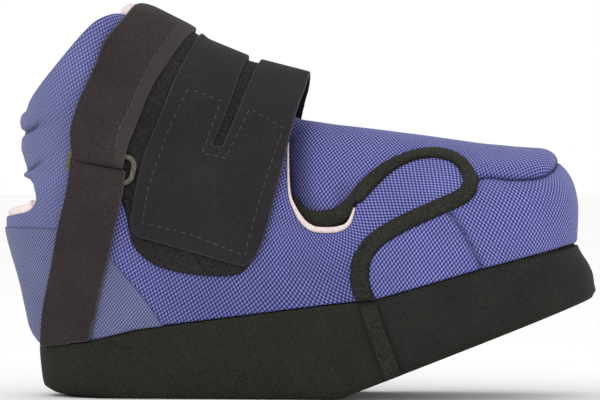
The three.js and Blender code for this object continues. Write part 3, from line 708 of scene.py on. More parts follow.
def raised(panel, strap, lower, upper):
    """The two faces of a sheet on the upper, at offsets that may change from place to place."""
    base = surface(panel.first, panel.second, strap)
    normal = outward(panel.first, panel.second, strap)
    top, bottom = (at_places(offset, base, panel.edge)[:, None] for offset in (upper, lower))
    return base + normal * top, base + normal * bottom


def cloth_places(points, faces):
    """Unrolls a panel flat; millimetres, turned to lie as the panel does in side view."""
    mesh = bpy.data.meshes.new("flat_cut")
    mesh.from_pydata(points.tolist(), [], faces)
    corners = np.empty(len(mesh.loops), int)
    mesh.loops.foreach_get("vertex_index", corners)
    side_view = points[:, [0, 2]] / REACH
    mesh.uv_layers.new(name="cloth").data.foreach_set("uv", side_view[corners].ravel())
    piece = bpy.data.objects.new("flat_cut", mesh)
    bpy.context.collection.objects.link(piece)
    bpy.ops.object.select_all(action="DESELECT")
    bpy.context.view_layer.objects.active = piece
    piece.select_set(True)
    bpy.ops.object.mode_set(mode="EDIT")
    bpy.ops.mesh.select_all(action="SELECT")
    bpy.ops.uv.unwrap(method="MINIMUM_STRETCH", iterations=UNROLL_ROUNDS, margin=0)
    bpy.ops.object.mode_set(mode="OBJECT")
    values = np.empty(2 * len(mesh.loops))
    mesh.uv_layers[0].data.foreach_get("uv", values)
    flat = np.zeros((len(points), 2))
    flat[corners] = values.reshape(-1, 2)
    true_area = sum(f.area for f in mesh.polygons)
    bpy.data.objects.remove(piece)
    bpy.data.meshes.remove(mesh)
    flat_area = 0
    for face in faces:
        x, y = flat[face, 0], flat[face, 1]
        flat_area += abs(np.dot(x, np.roll(y, -1)) - np.dot(y, np.roll(x, -1))) / 2
    flat = (flat - flat.mean(axis=0)) * math.sqrt(true_area / flat_area)
    seen = (points[:, 0] - points[:, 0].mean()) + 1j * (points[:, 2] - points[:, 2].mean())
    plain = flat[:, 0] + 1j * flat[:, 1]
    turns = [np.vdot(way, seen) for way in (plain, plain.conj())]
    best = int(abs(turns[1]) > abs(turns[0]))
    turned = (plain.conj() if best else plain) * turns[best] / abs(turns[best])
    return np.column_stack([turned.real, turned.imag])


def sheet_part(panel, lower, upper, strap=False, mirror=False, unroll=False, recut=None, part=None, **looks):
    """A closed sheet cut from one side of the upper, with its mirror image if asked.

    Looks are functions of the places on the upper that give the cloth's painted shade and its grey."""
    part = part or Part()
    top, bottom = raised(panel, strap, lower, upper)
    points, faces = shell(panel.faces, top, bottom, np.abs(panel.second) < TINY)
    base = surface(panel.first, panel.second, strap)
    cloth = None
    if unroll:
        flat = cloth_places(top, panel.faces)
        cloth = np.tile(recut(base, flat) if recut else flat, (2, 1))
    values = {key: np.tile(look(base), 2) for key, look in looks.items()}
    values["edge"] = np.tile(panel.edge, 2)
    part.add(points, faces, cloth, **values)
    if mirror:
        part.add(points, faces, cloth, mirrored=True, **values)
    return part


def thick_from(start, thickness, radius, least=0.25):
    """Outer offset of a sheet with rounded edges whose inner face is at start."""

    def offset(base, edge):
        return at_places(start, base, edge) + thickness * rounded_edge(edge, radius, least)

    return offset


# Materials


class Shader:
    """A material's node tree, with short ways to add nodes."""

    def __init__(self, name):
        self.material = bpy.data.materials.new(name)
        self.material.use_nodes = True
        self.tree = self.material.node_tree
        self.surface = self.tree.nodes["Principled BSDF"]

    def node(self, kind, **settings):
        made = self.tree.nodes.new(kind)
        for key, value in settings.items():
            setattr(made, key, value)
        return made

    def join(self, source, target):
        if isinstance(source, bpy.types.NodeSocket):
            self.tree.links.new(source, target)
        else:
            target.default_value = source

    def math(self, operation, a, b=0.0):
        made = self.node("ShaderNodeMath", operation=operation)
        self.join(a, made.inputs[0])
        self.join(b, made.inputs[1])
        return made.outputs[0]

    def mix(self, share, a, b, blend="MIX"):
        made = self.node("ShaderNodeMix", data_type="RGBA", blend_type=blend)
        self.join(share, made.inputs["Factor"])
        self.join(a, made.inputs["A"])
        self.join(b, made.inputs["B"])
        return made.outputs["Result"]

    def noise(self, scale, detail=2.0, place=None):
        made = self.node("ShaderNodeTexNoise")
        made.inputs["Scale"].default_value = scale
        made.inputs["Detail"].default_value = detail
        place = place or self.node("ShaderNodeTexCoord").outputs["Object"]
        self.join(place, made.inputs["Vector"])
        return made.outputs["Fac"]

    def ramp(self, value, *stops):
        made = self.node("ShaderNodeValToRGB")
        points = made.color_ramp.elements
        while len(points) < len(stops):
            points.new(0.5)
        for point, (place, colour) in zip(points, stops):
            point.position = place
            point.color = colour
        self.join(value, made.inputs[0])
        return made.outputs[0]

    def mottled(self, colour, noise, dark, light, span=(0.3, 0.7)):
        """A colour with soft patches, each between a dark and a light shade."""
        patches = self.ramp(noise, (span[0], (*dark, 1)), (span[1], (*light, 1)))
        return self.mix(1.0, colour, patches, "MULTIPLY")

    def value(self, key):
        """A value kept at the piece's points."""
        return self.node("ShaderNodeAttribute", attribute_name=key).outputs["Fac"]

    def near_edge(self, distance):
        """1 at a piece's cut edge, 0 from a distance in millimetres inwards."""
        edge = self.value("edge")
        made = self.node("ShaderNodeMapRange")
        self.join(edge, made.inputs["Value"])
        made.inputs["From Max"].default_value = distance
        made.inputs["To Min"].default_value = 1
        made.inputs["To Max"].default_value = 0
        return made.outputs[0]

    def bump(self, height, strength, distance):
        made = self.node("ShaderNodeBump")
        made.inputs["Strength"].default_value = strength
        made.inputs["Distance"].default_value = distance * MM
        self.join(height, made.inputs["Height"])
        self.join(made.outputs[0], self.surface.inputs["Normal"])

    def finish(self, colour, roughness, sheen=0.0, metallic=0.0, specular=0.5):
        self.join(colour, self.surface.inputs["Base Color"])
        self.surface.inputs["Specular IOR Level"].default_value = specular
        self.surface.inputs["Roughness"].default_value = roughness
        self.surface.inputs["Sheen Weight"].default_value = sheen
        self.surface.inputs["Metallic"].default_value = metallic
        return self.material


def tint(code):
    """A colour such as 6468ad as linear red, green, blue and 1."""
    parts = [int(code[i : i + 2], 16) / 255 for i in (0, 2, 4)]
    linear = [c / 12.92 if c < 0.04045 else ((c + 0.055) / 1.055) ** 2.4 for c in parts]
    return (*linear, 1)


def mesh_cloth(name, fineness, gap, middle, bright, greyer_tint):
    """Spacer mesh: bright loops of yarn in staggered rows with dark gaps, greyer and paler where it is
    stretched plain and where a sheen is painted on.
    """
    shader = Shader(name)
    place = shader.node("ShaderNodeUVMap", uv_map="cloth").outputs[0]
    wander = shader.node("ShaderNodeTexNoise")
    wander.inputs["Scale"].default_value = WANDER_SCALE
    shader.join(place, wander.inputs["Vector"])
    shifted = shader.node("ShaderNodeVectorMath", operation="SCALE")
    shader.join(wander.outputs["Color"], shifted.inputs[0])
    shifted.inputs["Scale"].default_value = WANDER_REACH
    moved = shader.node("ShaderNodeVectorMath", operation="ADD")
    shader.join(place, moved.inputs[0])
    shader.join(shifted.outputs[0], moved.inputs[1])
    turned = shader.node("ShaderNodeMapping")
    turned.inputs["Rotation"].default_value = (0, 0, WEAVE_TURN)
    across, down = 2 * math.pi * fineness / LOOP_PITCH, math.pi * fineness / ROW_PITCH
    turned.inputs["Scale"].default_value = (across, down, 1)
    shader.join(moved.outputs[0], turned.inputs["Vector"])
    axes = shader.node("ShaderNodeSeparateXYZ")
    shader.join(turned.outputs[0], axes.inputs[0])
    rows = shader.math("COSINE", axes.outputs[0])
    columns = shader.math("COSINE", axes.outputs[1])
    loops = shader.math("MULTIPLY", rows, columns)
    height = shader.math("MULTIPLY_ADD", loops, 0.5)
    height.node.inputs[2].default_value = 0.5
    yarn = shader.ramp(height, (0.2, tint(gap)), (0.55, tint(middle)), (0.9, tint(bright)))
    colour = shader.mottled(yarn, shader.noise(28, detail=3), (0.86, 0.86, 0.88), (1.06, 1.05, 1.05))
    # greyer and paler: the weave stretched plain, and a painted sheen on the roll tops and towards the back
    # of the heel
    colour = shader.mix(shader.value("grey"), colour, tint(greyer_tint))
    # painted shade along the seams: darker towards the gaps' colour within a millimetre of a cut edge
    colour = shader.mix(shader.math("MULTIPLY", shader.near_edge(1.0), 0.6), colour, tint(gap))
    # painted shade: darker towards a deep blue where the shade value is set
    colour = shader.mix(shader.value("shade"), colour, tint(PAINTED_SHADE_TINT))
    shader.bump(height, strength=0.55, distance=0.5)
    return shader.finish(colour, roughness=0.75, sheen=0.06, specular=0.2)


def felt(name, dark, light, edge_tint, grain=1400, depth=0.12, edge_width=0.7, hem=None):
    """Brushed strap cloth with a tint along its cut edges, lighter on the strap and flap cloth as a painted
    highlight, and the hem of a strap with a tint of its own.
    """
    shader = Shader(name)
    fibres = shader.noise(grain, detail=3)
    colour = shader.ramp(fibres, (0.3, tint(dark)), (0.72, tint(light)))
    colour = shader.mottled(colour, shader.noise(35, detail=3), (0.85, 0.84, 0.86), (1.12, 1.1, 1.1))
    if hem:
        colour = shader.mix(shader.value("grey"), colour, tint(hem))
    # on the strap and flap cloth the lighter edge tint is a painted highlight on the edge's thickness
    colour = shader.mix(shader.math("MULTIPLY", shader.near_edge(edge_width), 0.75), colour, tint(edge_tint))
    shader.bump(fibres, strength=0.5, distance=depth)
    return shader.finish(colour, roughness=0.9, sheen=0.03, specular=0.15)


def foam(name, dark, light, roughness, grain, depth):
    """Closed-cell foam or coated cloth with a fine speckle and faint scuffs."""
    shader = Shader(name)
    cells = shader.noise(grain, detail=2)
    colour = shader.ramp(cells, (0.3, tint(dark)), (0.75, tint(light)))
    scuffs = shader.noise(60, detail=5)
    colour = shader.mottled(colour, scuffs, (0.9, 0.9, 0.9), (1.12, 1.12, 1.1), span=(0.35, 0.75))
    shader.bump(cells, strength=0.4, distance=depth)
    return shader.finish(colour, roughness, specular=0.12)


def brushed_metal(name):
    shader = Shader(name)
    marks = shader.noise(900, detail=4)
    colour = shader.ramp(marks, (0.3, tint("45433a")), (0.7, tint("757365")))
    shader.bump(marks, strength=0.15, distance=0.05)
    return shader.finish(colour, roughness=0.34, metallic=0.85)


mesh_blue = mesh_cloth("mesh_blue", 1, gap="29296a", middle="5d5fa2", bright="a0a3dc", greyer_tint="6c7093")
heel_blue = mesh_cloth("heel_blue", 1.25, gap="42466e", middle="666a91", bright="9296ba", greyer_tint="6c7093")
lining_pale = felt("lining_pale", "dec8c2", "f3e6e6", "efdcd8", grain=700, depth=0.3)
# the strap and flap cloth have lighter cut edges: a painted highlight
strap_black = felt("strap_black", "2a2425", "3f3738", "5d5956", hem="4b4a47")
flap_black = felt("flap_black", "222023", "322f33", "555254")
pile_black = felt("pile_black", "191819", "353233", "1e1c1d", grain=900, depth=0.7)
tape_black = felt("tape_black", "1a1b17", "383932", "11120e", grain=1000, depth=0.2, edge_width=1.3)
thread_grey = felt("thread_grey", "4d4945", "68635e", "4d4945")
cover_black = foam("cover_black", "20211f", "2f302c", roughness=0.8, grain=1100, depth=0.1)
sole_black = foam("sole_foam", "20201c", "31312b", roughness=0.8, grain=1000, depth=0.1)
ring_metal = brushed_metal("ring_metal")


# The upper

rim = smooth(COLLAR_RIM)
throat = smooth(THROAT_EDGE)
scoop = smooth(SCOOP)
lobe_top = smooth(LOBE_TOP)
lobe_bottom = smooth(LOBE_BOTTOM)
side_seam = smooth(SIDE_SEAM)
toe_seam = smooth(TOE_SEAM)
toe_dart = smooth(TOE_DART)
beyond_dart = joined(toe_dart, DART_CORNERS)
lobe_edge = joined(lobe_top, lobe_bottom, side_seam)
tongue_edge = smooth(TONGUE_EDGE)
heel_slot = smooth(HEEL_SLOT)
quarter_outline = joined(BACK_CORNERS, rim, throat, scoop, lobe_edge, SEAM_FOOT)
vamp_outline = joined(throat[::-1], VAMP_CORNERS, toe_seam[::-1], lobe_top[::-1], scoop[::-1])
toe_outline = joined(side_seam[::-1], lobe_bottom[::-1], toe_seam, TOE_CORNERS)


def standing(x, z):
    """Height above the sole's top, less the gap."""
    return z - sole_top(x) - GAP


def beyond_rim(x, z):
    """Distance from the rolled rim along the scoop."""
    return to_line(scoop, x, z) - table_at(RIM_HALVES, x)


def quarter_edge(x, z):
    sewn = inside(quarter_outline, x, z) - SEAM_WIDTH / 2
    return np.minimum.reduce([sewn, beyond_rim(x, z), -inside(heel_slot, x, z), standing(x, z)])


def rolls(base):
    """Height of the rolls gathered round the back of the collar, and depth of the valleys between."""
    x, y, z = base.T
    turn = np.arctan2(y, ROLL_BACK + ROLL_RADIUS - x) / ROLL_SPREAD
    fade = np.cos(np.clip(turn, -1, 1) * np.pi / 2)
    level = z - ROLL_RISE * (1 - fade)
    height = np.zeros_like(x)
    for middle, half, thick in ROLLS:
        share = (level - middle) / half
        height = np.maximum(height, thick * np.sqrt(np.maximum(0, 1 - share * share)))
    lowest = min(ROLL_VALLEYS)
    ending = eased(level, (lowest - ROLL_END, lowest))
    return fade * ending * (height + table_at(ROLL_VALLEYS, level))


def heel_tuck(base):
    """How far the cloth turns in round the heel just above the sole."""
    return table_at(HEEL_TUCK, base[:, 2]) * (1 - eased(base[:, 0], HEEL_TUCK_END))


def valleys(base):
    """How far the cloth and its lining sink, in the valleys between the rolls and above the sole."""
    return np.minimum(0, rolls(base)) - heel_tuck(base)


def creased(base):
    """1 along the creases between the rolls, 0 away from them."""
    near = [close_to(smooth(line), base, CREASE_WIDTH) for line in CREASES]
    return np.maximum.reduce(near) * (1 - eased(base[:, 0], CREASE_END))


def stretched_and_sheen(base):
    """How far the cloth turns greyer and paler towards the back of the heel and over the rolls: its weave
    stretched plain, with a painted sheen.
    """
    heel = GREYER_AT_BACK * eased(-base[:, 0], GREYER_FROM)
    return np.clip(np.maximum(heel, GREYER_PER_ROLL * rolls(base)), 0, GREYER_MOST)


def make_quarter():
    skin = thick_from(-CLOTH, CLOTH, radius=1.4, least=0.4)
    panel = cut_panel(quarter_edge)

    def outer(base, edge):
        return skin(base, edge) + rolls(base) - heel_tuck(base) - CREASE_DEPTH * creased(base)

    def inner(base, edge):
        return valleys(base) - CREASE_DEPTH * creased(base) - CLOTH

    # painted shade in the creases between the rolls and on the low side of the quarter
    def shade(base):
        low = (1 - eased(base[:, 2], LOW_SIDE)) * eased(base[:, 0], MIDDLE_FROM)
        return np.maximum(CREASE_SHADE * creased(base), LOW_SHADE * low)

    part = sheet_part(panel, inner, outer, mirror=True, unroll=True, shade=shade, grey=stretched_and_sheen)
    return part.make("quarter", mesh_blue, "mesh_blue", "quarter")


def make_heel_counter():
    outline = joined(smooth(COUNTER_TOP), COUNTER_CORNER)
    panel = cut_panel(lambda x, z: np.minimum(inside(outline, x, z), standing(x, z)))

    def start(base, edge):
        return COUNTER_FROM - heel_tuck(base)

    skin = thick_from(start, COUNTER, radius=1.0, least=0.3)
    part = sheet_part(panel, start, skin, mirror=True, unroll=True)
    return part.make("heel_counter", heel_blue, "heel_blue", "heel_counter")


def scoop_hollow(base):
    """How far the tongue and its tape lie below the surface along the scoop."""
    x, _, z = base.T
    depth = SCOOP_DEPTH * close_to(scoop, base, SCOOP_REACH) * (1 - eased(x, SCOOP_END))
    return np.where(inside(vamp_outline, x, z) > 0, depth, 0)


def make_vamp_top():
    """The tongue and the padded top of the vamp, which swells along the toe seam."""

    def edge(x, z):
        return np.minimum(inside(vamp_outline, x, z) - SEAM_WIDTH / 2, beyond_rim(x, z))

    def inner(base, edge):
        return -CLOTH - scoop_hollow(base) - table_at(VAMP_SAG, base[:, 0])

    def outer(base, edge):
        from_swell = to_line(toe_seam, base[:, 0], base[:, 2]) - SWELL_WIDTH
        swell = VAMP_SWELL * np.exp(-((from_swell / SWELL_WIDTH) ** 2))
        return inner(base, edge) + CLOTH * rounded_edge(edge, radius=3, least=0.1) + swell

    # painted shade over the whole top, along the toe seam and deep in the scoop
    def shade(base):
        seam = SEAM_SHADE * close_to(toe_seam, base, VAMP_SEAM_SHADOW)
        return np.maximum(np.maximum(TOP_SHADE, seam), SCOOP_SHADE * scoop_hollow(base) / SCOOP_DEPTH)

    part = sheet_part(cut_panel(edge), inner, outer, mirror=True, unroll=True, shade=shade)
    return part.make("vamp_top", mesh_blue, "mesh_blue", "vamp_top")


def make_toe_wall():
    """The wall round the toe, with a dart sewn into each side."""

    def edge(x, z):
        return np.minimum(inside(toe_outline, x, z) - SEAM_WIDTH / 2, standing(x, z))

    def outer(base, edge):
        crease = DART_DEPTH * close_to(toe_dart, base, DART_WIDTH)
        sunk = TOE_SEAM_DEPTH * close_to(toe_seam, base, TOE_SEAM_REACH)
        return CLOTH * rounded_edge(edge, radius=1.6, least=0.4) - CLOTH - crease - sunk

    # painted shade along the toe seam and in the dart
    def shade(base):
        seam = SEAM_SHADE * close_to(toe_seam, base, WALL_SEAM_SHADOW)
        return np.maximum(seam, DART_SHADE * close_to(toe_dart, base, DART_WIDTH))

    def turned(base, flat):
        """The cloth beyond the dart is cut at another angle."""
        turn = np.where(inside(beyond_dart, base[:, 0], base[:, 2]) > 0, DART_TURN, 0)
        place = (flat[:, 0] + 1j * flat[:, 1]) * np.exp(1j * turn)
        return np.column_stack([place.real, place.imag])

    part = sheet_part(cut_panel(edge), -CLOTH, outer, mirror=True, unroll=True, recut=turned, shade=shade)
    return part.make("toe_wall", mesh_blue, "mesh_blue", "toe_wall")


def make_lining():
    """The padded boot inside the mesh, its floor, and its rolled rim along the scoops."""
    outline = joined(BACK_CORNERS, smooth(LINING_RIM), LINING_CORNERS)
    slot = smooth(HEEL_SLOT_LINING)
    outside = -CLOTH - GAP

    def under_scoop(x, z):
        """Positive where the tongue lies so low that the lining stops short of it."""
        return np.minimum(inside(vamp_outline, x, z), SCOOP_CLEAR - to_line(scoop, x, z))

    def edge(x, z):
        cuts = [inside(outline, x, z), -inside(slot, x, z), -under_scoop(x, z), standing(x, z)]
        return np.minimum.reduce(cuts)

    def thinner(edge):
        return PADDING / 2 * (1 - rounded_edge(edge, PADDING / 2, least=0.1))

    def outer(base, edge):
        return outside + valleys(base) - thinner(edge)

    def inner(base, edge):
        return outside + valleys(base) - PADDING + thinner(edge)

    panel = cut_panel(edge, pitch=LINING_PITCH, top=TOP_REACH)
    part = sheet_part(panel, inner, outer, mirror=True)
    add_floor(part)
    add_lining_roll(part)
    add_rims(part)
    return part.make("lining", lining_pale, "lining_pale", "lining")


def add_lining_roll(part):
    """The padded end of the lining that rises between collar and strap."""
    down = np.linspace(0, math.pi, LINING_ROLL_ROWS)
    lines = []
    for turn in np.linspace(0, 2 * math.pi, LINING_ROLL_COLUMNS, endpoint=False):
        line = np.column_stack([np.sin(down) * math.cos(turn), np.sin(down) * math.sin(turn), np.cos(down)])
        lines.append(line * LINING_ROLL_RADII + LINING_ROLL_CENTRE)
    part.add(*lofted(lines, loop_lines=True))


def add_rims(part):
    """The lining turned out along each scoop, and swelling over the lower edge of the heel slot."""
    scoop_line = scoop[scoop[:, 0] < RIM_END]
    scoop_radii = table_at(RIM_HALVES, scoop_line[:, 0]) * RIM_FULLNESS
    heel_line = smooth(HEEL_ROLL)
    heel_radii = np.full(len(heel_line), HEEL_ROLL_RADIUS)
    rims = ((scoop_line, scoop_radii, RIM_SINK), (heel_line, heel_radii, HEEL_ROLL_SINK))
    for line, radii, depth in rims:
        s, w = locate(line[:, 0], line[:, 1])
        normals = outward(s, w)
        centres = surface(s, w) - normals * (radii * depth)[:, None]
        points, faces = tube(centres, normals, radii, RIM_SIDES)
        part.add(points, faces)
        part.add(points, faces, mirrored=True)


def tube(centres, normals, radii, sides):
    """A round thread along a row of points, closed at both ends."""
    along = np.gradient(centres, axis=0)
    across = np.cross(normals, along)
    across /= np.linalg.norm(across, axis=1, keepdims=True)
    angles = 2 * math.pi * np.arange(sides) / sides
    return capped([centres + radii[:, None] * (across * math.cos(a) + normals * math.sin(a)) for a in angles])


def add_floor(part):
    """The lining under the foot, between its walls."""
    inset = SOLE_MARGIN + CLOTH + GAP + PADDING
    share = np.linspace(*FLOOR_SPAN, FLOOR_STATIONS)
    x = HEEL_END + (TOE_END - HEEL_END) * share
    half = np.maximum(FLOOR_LEAST_HALF, sole_half(share) - inset)
    low = sole_top(x) + GAP
    near_side = [np.column_stack([x, trim - half, low + rise]) for trim, rise in FLOOR_PROFILE]
    far_side = [line * (1, -1, 1) for line in reversed(near_side)]
    part.add(*capped(near_side + far_side))


# The sole


def sole_point(share, level, side, offset):
    """Points of the sole's wall, moved out by an offset."""
    table = np.array(SOLE_LEVELS, float)
    row = np.interp(level, table[:, 0], np.arange(len(table)))
    heel, toe, inset = (flowing(table[:, i], row) for i in (1, 2, 3))
    x = (heel - offset) + (toe - heel + 2 * offset) * share
    z = past_ends(SOLE_BOTTOM, x) * (1 - level) + sole_top(x) * level
    half = sole_half(share)
    half = np.where(half > 0, np.maximum(0, half - inset + offset), 0)
    return np.column_stack([x, side * half, z])


def make_sole():
    share = (1 - np.cos(np.pi * np.arange(SOLE_STATIONS + 1) / SOLE_STATIONS)) / 2
    around = np.concatenate([share, share[::-1]])
    side = np.repeat([-1, 1], len(share))
    rings = [sole_point(around, np.full_like(around, level), side, 0) for level in SOLE_ROWS]
    points, faces = lofted(rings, loop_points=True)
    size = len(around)
    top = len(points) - size
    for i in range(len(share) - 1):
        faces.append([i, size - 1 - i, size - 2 - i, i + 1])
        faces.append([top + i, top + i + 1, top + size - 2 - i, top + size - 1 - i])
    part = Part()
    part.add(points, faces)
    return part.make("sole", sole_black, "sole_foam", "sole")


def cut_sole(distance, sides):
    """The part of the forefoot's wall, on one side or right round the toe, where a distance is positive."""
    to_toe = (1 - FOREFOOT_FROM) * (np.linspace(0, 1, SOLE_STATIONS) - 1) ** 2
    around = to_toe * sides[0]
    if len(sides) == 2:
        around = np.concatenate([around, to_toe[::-1][1:] * sides[1]])
    level, turn = np.meshgrid(np.linspace(0, 1, WALL_ROWS), around, indexing="ij")
    points = sole_point(1 - np.abs(turn.ravel()), level.ravel(), np.sign(turn.ravel()), 0)
    gauge = distance(points[:, 0], points[:, 2], level.ravel()).reshape(level.shape)
    return cut_grid(gauge, level, turn, EDGE_LEVELS)


def sole_sheet(panel, lower, upper, part):
    """A closed sheet on the sole's wall."""
    rounded = lower + (upper - lower) * rounded_edge(panel.edge, radius=0.8, least=0.3)
    share, side = 1 - np.abs(panel.second), np.sign(panel.second)
    top, bottom = (sole_point(share, panel.first, side, offset) for offset in (rounded, lower))
    points, faces = shell(panel.faces, top, bottom, np.zeros(len(panel.edge), bool))
    part.add(points, faces, edge=np.tile(panel.edge, 2))
    return part


sole_front = joined(side_seam, SOLE_FRONT_CORNERS)


def make_sole_cover():
    def edge(x, z, level):
        lowest, highest = COVER_SPAN
        between = np.minimum(level - lowest, highest - level) * WALL_HEIGHT
        return np.minimum(inside(sole_front, x, z), between)

    part = sole_sheet(cut_sole(edge, (-1, 1)), *COVER_OFFSETS, Part())
    return part.make("sole_cover", cover_black, "cover_black", "sole_cover")


# Sewn-on pieces


def tape_half(z):
    return table_at(TAPE_WIDTHS, z) / 2


def make_binding(side, name):
    """Tape along the edge of the tongue and the vamp, and down the side of the sole."""

    def on_upper(x, z):
        on_vamp = tape_half(z) - to_line(lobe_edge, x, z)
        in_scoop = np.minimum(inside(vamp_outline, x, z), beyond_rim(x, z))
        on_tongue = np.minimum(tape_half(z) - to_line(tongue_edge, x, z), in_scoop)
        return np.minimum(np.maximum(on_vamp, on_tongue), standing(x, z))

    def on_sole(x, z, level):
        return np.minimum(tape_half(z) - to_line(side_seam, x, z), (TAPE_HIGHEST - level) * WALL_HEIGHT)

    def start(base, edge):
        return GAP - scoop_hollow(base)

    upper_panel = cut_panel(on_upper, side, pitch=TAPE_PITCH)
    part = sheet_part(upper_panel, start, thick_from(start, TAPE, radius=2.2, least=0.2))
    sole_sheet(cut_sole(on_sole, (side,)), *TAPE_OFFSETS, part)
    return part.make(name, tape_black, "tape_black", name)


def make_loop_patch():
    """The loop-faced patch under the flap, with its tab that closes the slit between the arms."""
    outline = smooth(PATCH_EDGE)

    def tab(x, z):
        return SLIT_LAP + inside(slit, x, z)

    skin = thick_from(GAP, OVERLAY, radius=1.0, least=0.4)
    part = sheet_part(cut_panel(lambda x, z: inside(outline, x, z)), GAP, skin)
    sheet_part(cut_panel(tab, strap=True), GAP, skin, strap=True, mirror=True, part=part)
    return part.make("loop_patch", pile_black, "pile_black", "loop_patch")


# Straps

flap_back = smooth(FLAP_LEFT)
flap_outline = joined(smooth(FLAP_BOTTOM), flap_back, smooth(FLAP_RIGHT))
slit = joined(smooth(SLIT_BACK), smooth(SLIT_FRONT))
ankle_back = smooth(ANKLE_BACK)
ankle_outline = joined(ankle_back, smooth(ANKLE_FRONT))
heel_strap_outline = joined(smooth(HEEL_STRAP_BACK), smooth(HEEL_STRAP_FRONT))
pile_front = flap_back[flap_back[:, 1] > RING_CENTRE[1] - RING_HEIGHT] - (PILE_SETBACK, 0)
pile_outline = joined(ankle_back, pile_front[::-1])


def flap_edge(x, z):
    return np.minimum(inside(flap_outline, x, z), -inside(slit, x, z))


def make_instep_flap():
    part = Part()
    skin = thick_from(FLAP_FROM, FLAP, radius=1.0, least=0.35)

    def hidden_arms(x, z):
        return np.minimum(flap_edge(x, z), z - ARM_END)

    for side, edge in ((-1, flap_edge), (1, hidden_arms)):
        sheet_part(cut_panel(edge, side, strap=True), FLAP_FROM, skin, strap=True, part=part)
    return part.make("instep_flap", flap_black, "strap_black", "instep_flap")


def make_ankle_pile():
    """The strap's inner layer, looped on its outer face."""
    part = Part()

    def ring_side(x, z):
        return np.minimum(inside(pile_outline, x, z), along_ring(x, z)[1] - GAP)

    def hidden_side(x, z):
        lower = np.minimum(inside(heel_strap_outline, x, z), standing(x, z))
        return np.maximum(inside(pile_outline, x, z), lower)

    def lifted(base, edge):
        over_counter = (FLAP_FROM - PILE_FROM) * (1 - eased(base[:, 2], COUNTER_CLEAR))
        return PILE_FROM + np.where(base[:, 1] > 0, over_counter, 0)

    for side, edge in ((-1, ring_side), (1, hidden_side)):
        panel = cut_panel(edge, side, strap=True)
        skin = thick_from(lifted, PILE, radius=1.2, least=0.3)
        sheet_part(panel, lifted, skin, strap=True, part=part)
    return part.make("ankle_strap_pile", pile_black, "strap_black")


def turned_in(along, across):
    """How far a strap's face drops where it turns into the ring's window, least at the heel side."""
    share = np.clip(across / FOLD_RADIUS, 0, 1)
    drop = FOLD_DROP * (FOLD_LEAST + (1 - FOLD_LEAST) * eased(along, FOLD_SPREAD))
    return drop * (1 - np.sqrt(1 - (1 - share) ** 2))


def ankle_strap_level(base):
    """Offset of the ankle strap's inner face, which falls from over the ring to the loop-faced layer."""
    return OVER_RING_FROM + (OVER_PILE_FROM - OVER_RING_FROM) * eased(base[:, 2], ANKLE_STRAP_FALL)


def make_ankle_strap():
    part = Part()

    def ring_side(x, z):
        return np.minimum(inside(ankle_outline, x, z), along_ring(x, z)[1] - FOLD_GAP)

    def hidden_side(x, z):
        return np.minimum(inside(ankle_outline, x, z), z - FOLD_BACK_END)

    def start(base, edge):
        along, across = along_ring(base[:, 0], base[:, 2])
        fold = np.where(base[:, 1] < 0, turned_in(along, across - FOLD_GAP), 0)
        return ankle_strap_level(base) - fold

    hem_outline = joined(smooth(ANKLE_SEAM), ANKLE_HEM_CORNERS)

    def hem(base):
        return HEM_SHARE * (inside(hem_outline, base[:, 0], base[:, 2]) > 0)

    skin = thick_from(start, STRAP, radius=1.0, least=0.35)
    for side, edge in ((-1, ring_side), (1, hidden_side)):
        panel = cut_panel(edge, side, strap=True)
        sheet_part(panel, start, skin, strap=True, part=part, grey=hem)
    return part.make("ankle_strap", strap_black, "strap_black", "ankle_strap")


def make_heel_strap():
    def edge(x, z):
        across = along_ring(x, z)[1]
        return np.minimum.reduce([inside(heel_strap_outline, x, z), -FOLD_GAP - across, standing(x, z)])

    def start(base, edge):
        rise = eased(base[:, 2], HEEL_STRAP_RISE)
        along, across = along_ring(base[:, 0], base[:, 2])
        return FLAP_FROM + (OVER_RING_FROM - FLAP_FROM) * rise - turned_in(along, -FOLD_GAP - across)

    part = sheet_part(cut_panel(edge), start, thick_from(start, STRAP, radius=1.0, least=0.35))
    return part.make("heel_strap", strap_black, "strap_black", "heel_strap")


def swept(centres, across, normals, half_width, half_height):
    """A closed loop of wire with an oval section."""
    lines = []
    for angle in 2 * math.pi * np.arange(RING_SIDES) / RING_SIDES:
        out = across * half_width * math.cos(angle) + normals * half_height * math.sin(angle)
        lines.append(centres + out)
    return lofted(lines, loop_lines=True, loop_points=True)


def make_ring():
    corner = RING_CORNER - RING_WIRE / 2
    x_flat, z_flat = RING_LENGTH / 2 - RING_CORNER, RING_HEIGHT / 2 - RING_CORNER
    line = []
    for sx, sz, turn in ((1, 1, 0), (-1, 1, 1), (-1, -1, 2), (1, -1, 3)):
        for angle in np.linspace(0, math.pi / 2, RING_CORNER_STEPS) + turn * math.pi / 2:
            line.append((sx * x_flat + corner * math.cos(angle), sz * z_flat + corner * math.sin(angle)))
    line = np.array(line)
    cos, sin = math.cos(RING_TILT), math.sin(RING_TILT)
    x = RING_CENTRE[0] + RING_SLIDE + line[:, 0] * cos - line[:, 1] * sin
    z = RING_CENTRE[1] + line[:, 0] * sin + line[:, 1] * cos
    s, w = locate(x, z)
    normals = outward(s, w)
    centres = surface(s, w) + normals * (BAR_FROM + RING_BAR / 2)
    along = np.roll(centres, -1, axis=0) - np.roll(centres, 1, axis=0)
    across = np.cross(normals, along)
    across /= np.linalg.norm(across, axis=1, keepdims=True)
    part = Part()
    part.add(*swept(centres, across, normals, RING_WIRE / 2, RING_BAR / 2))
    return part.make("ring", ring_metal, "ring_metal", "ring")


# Seams


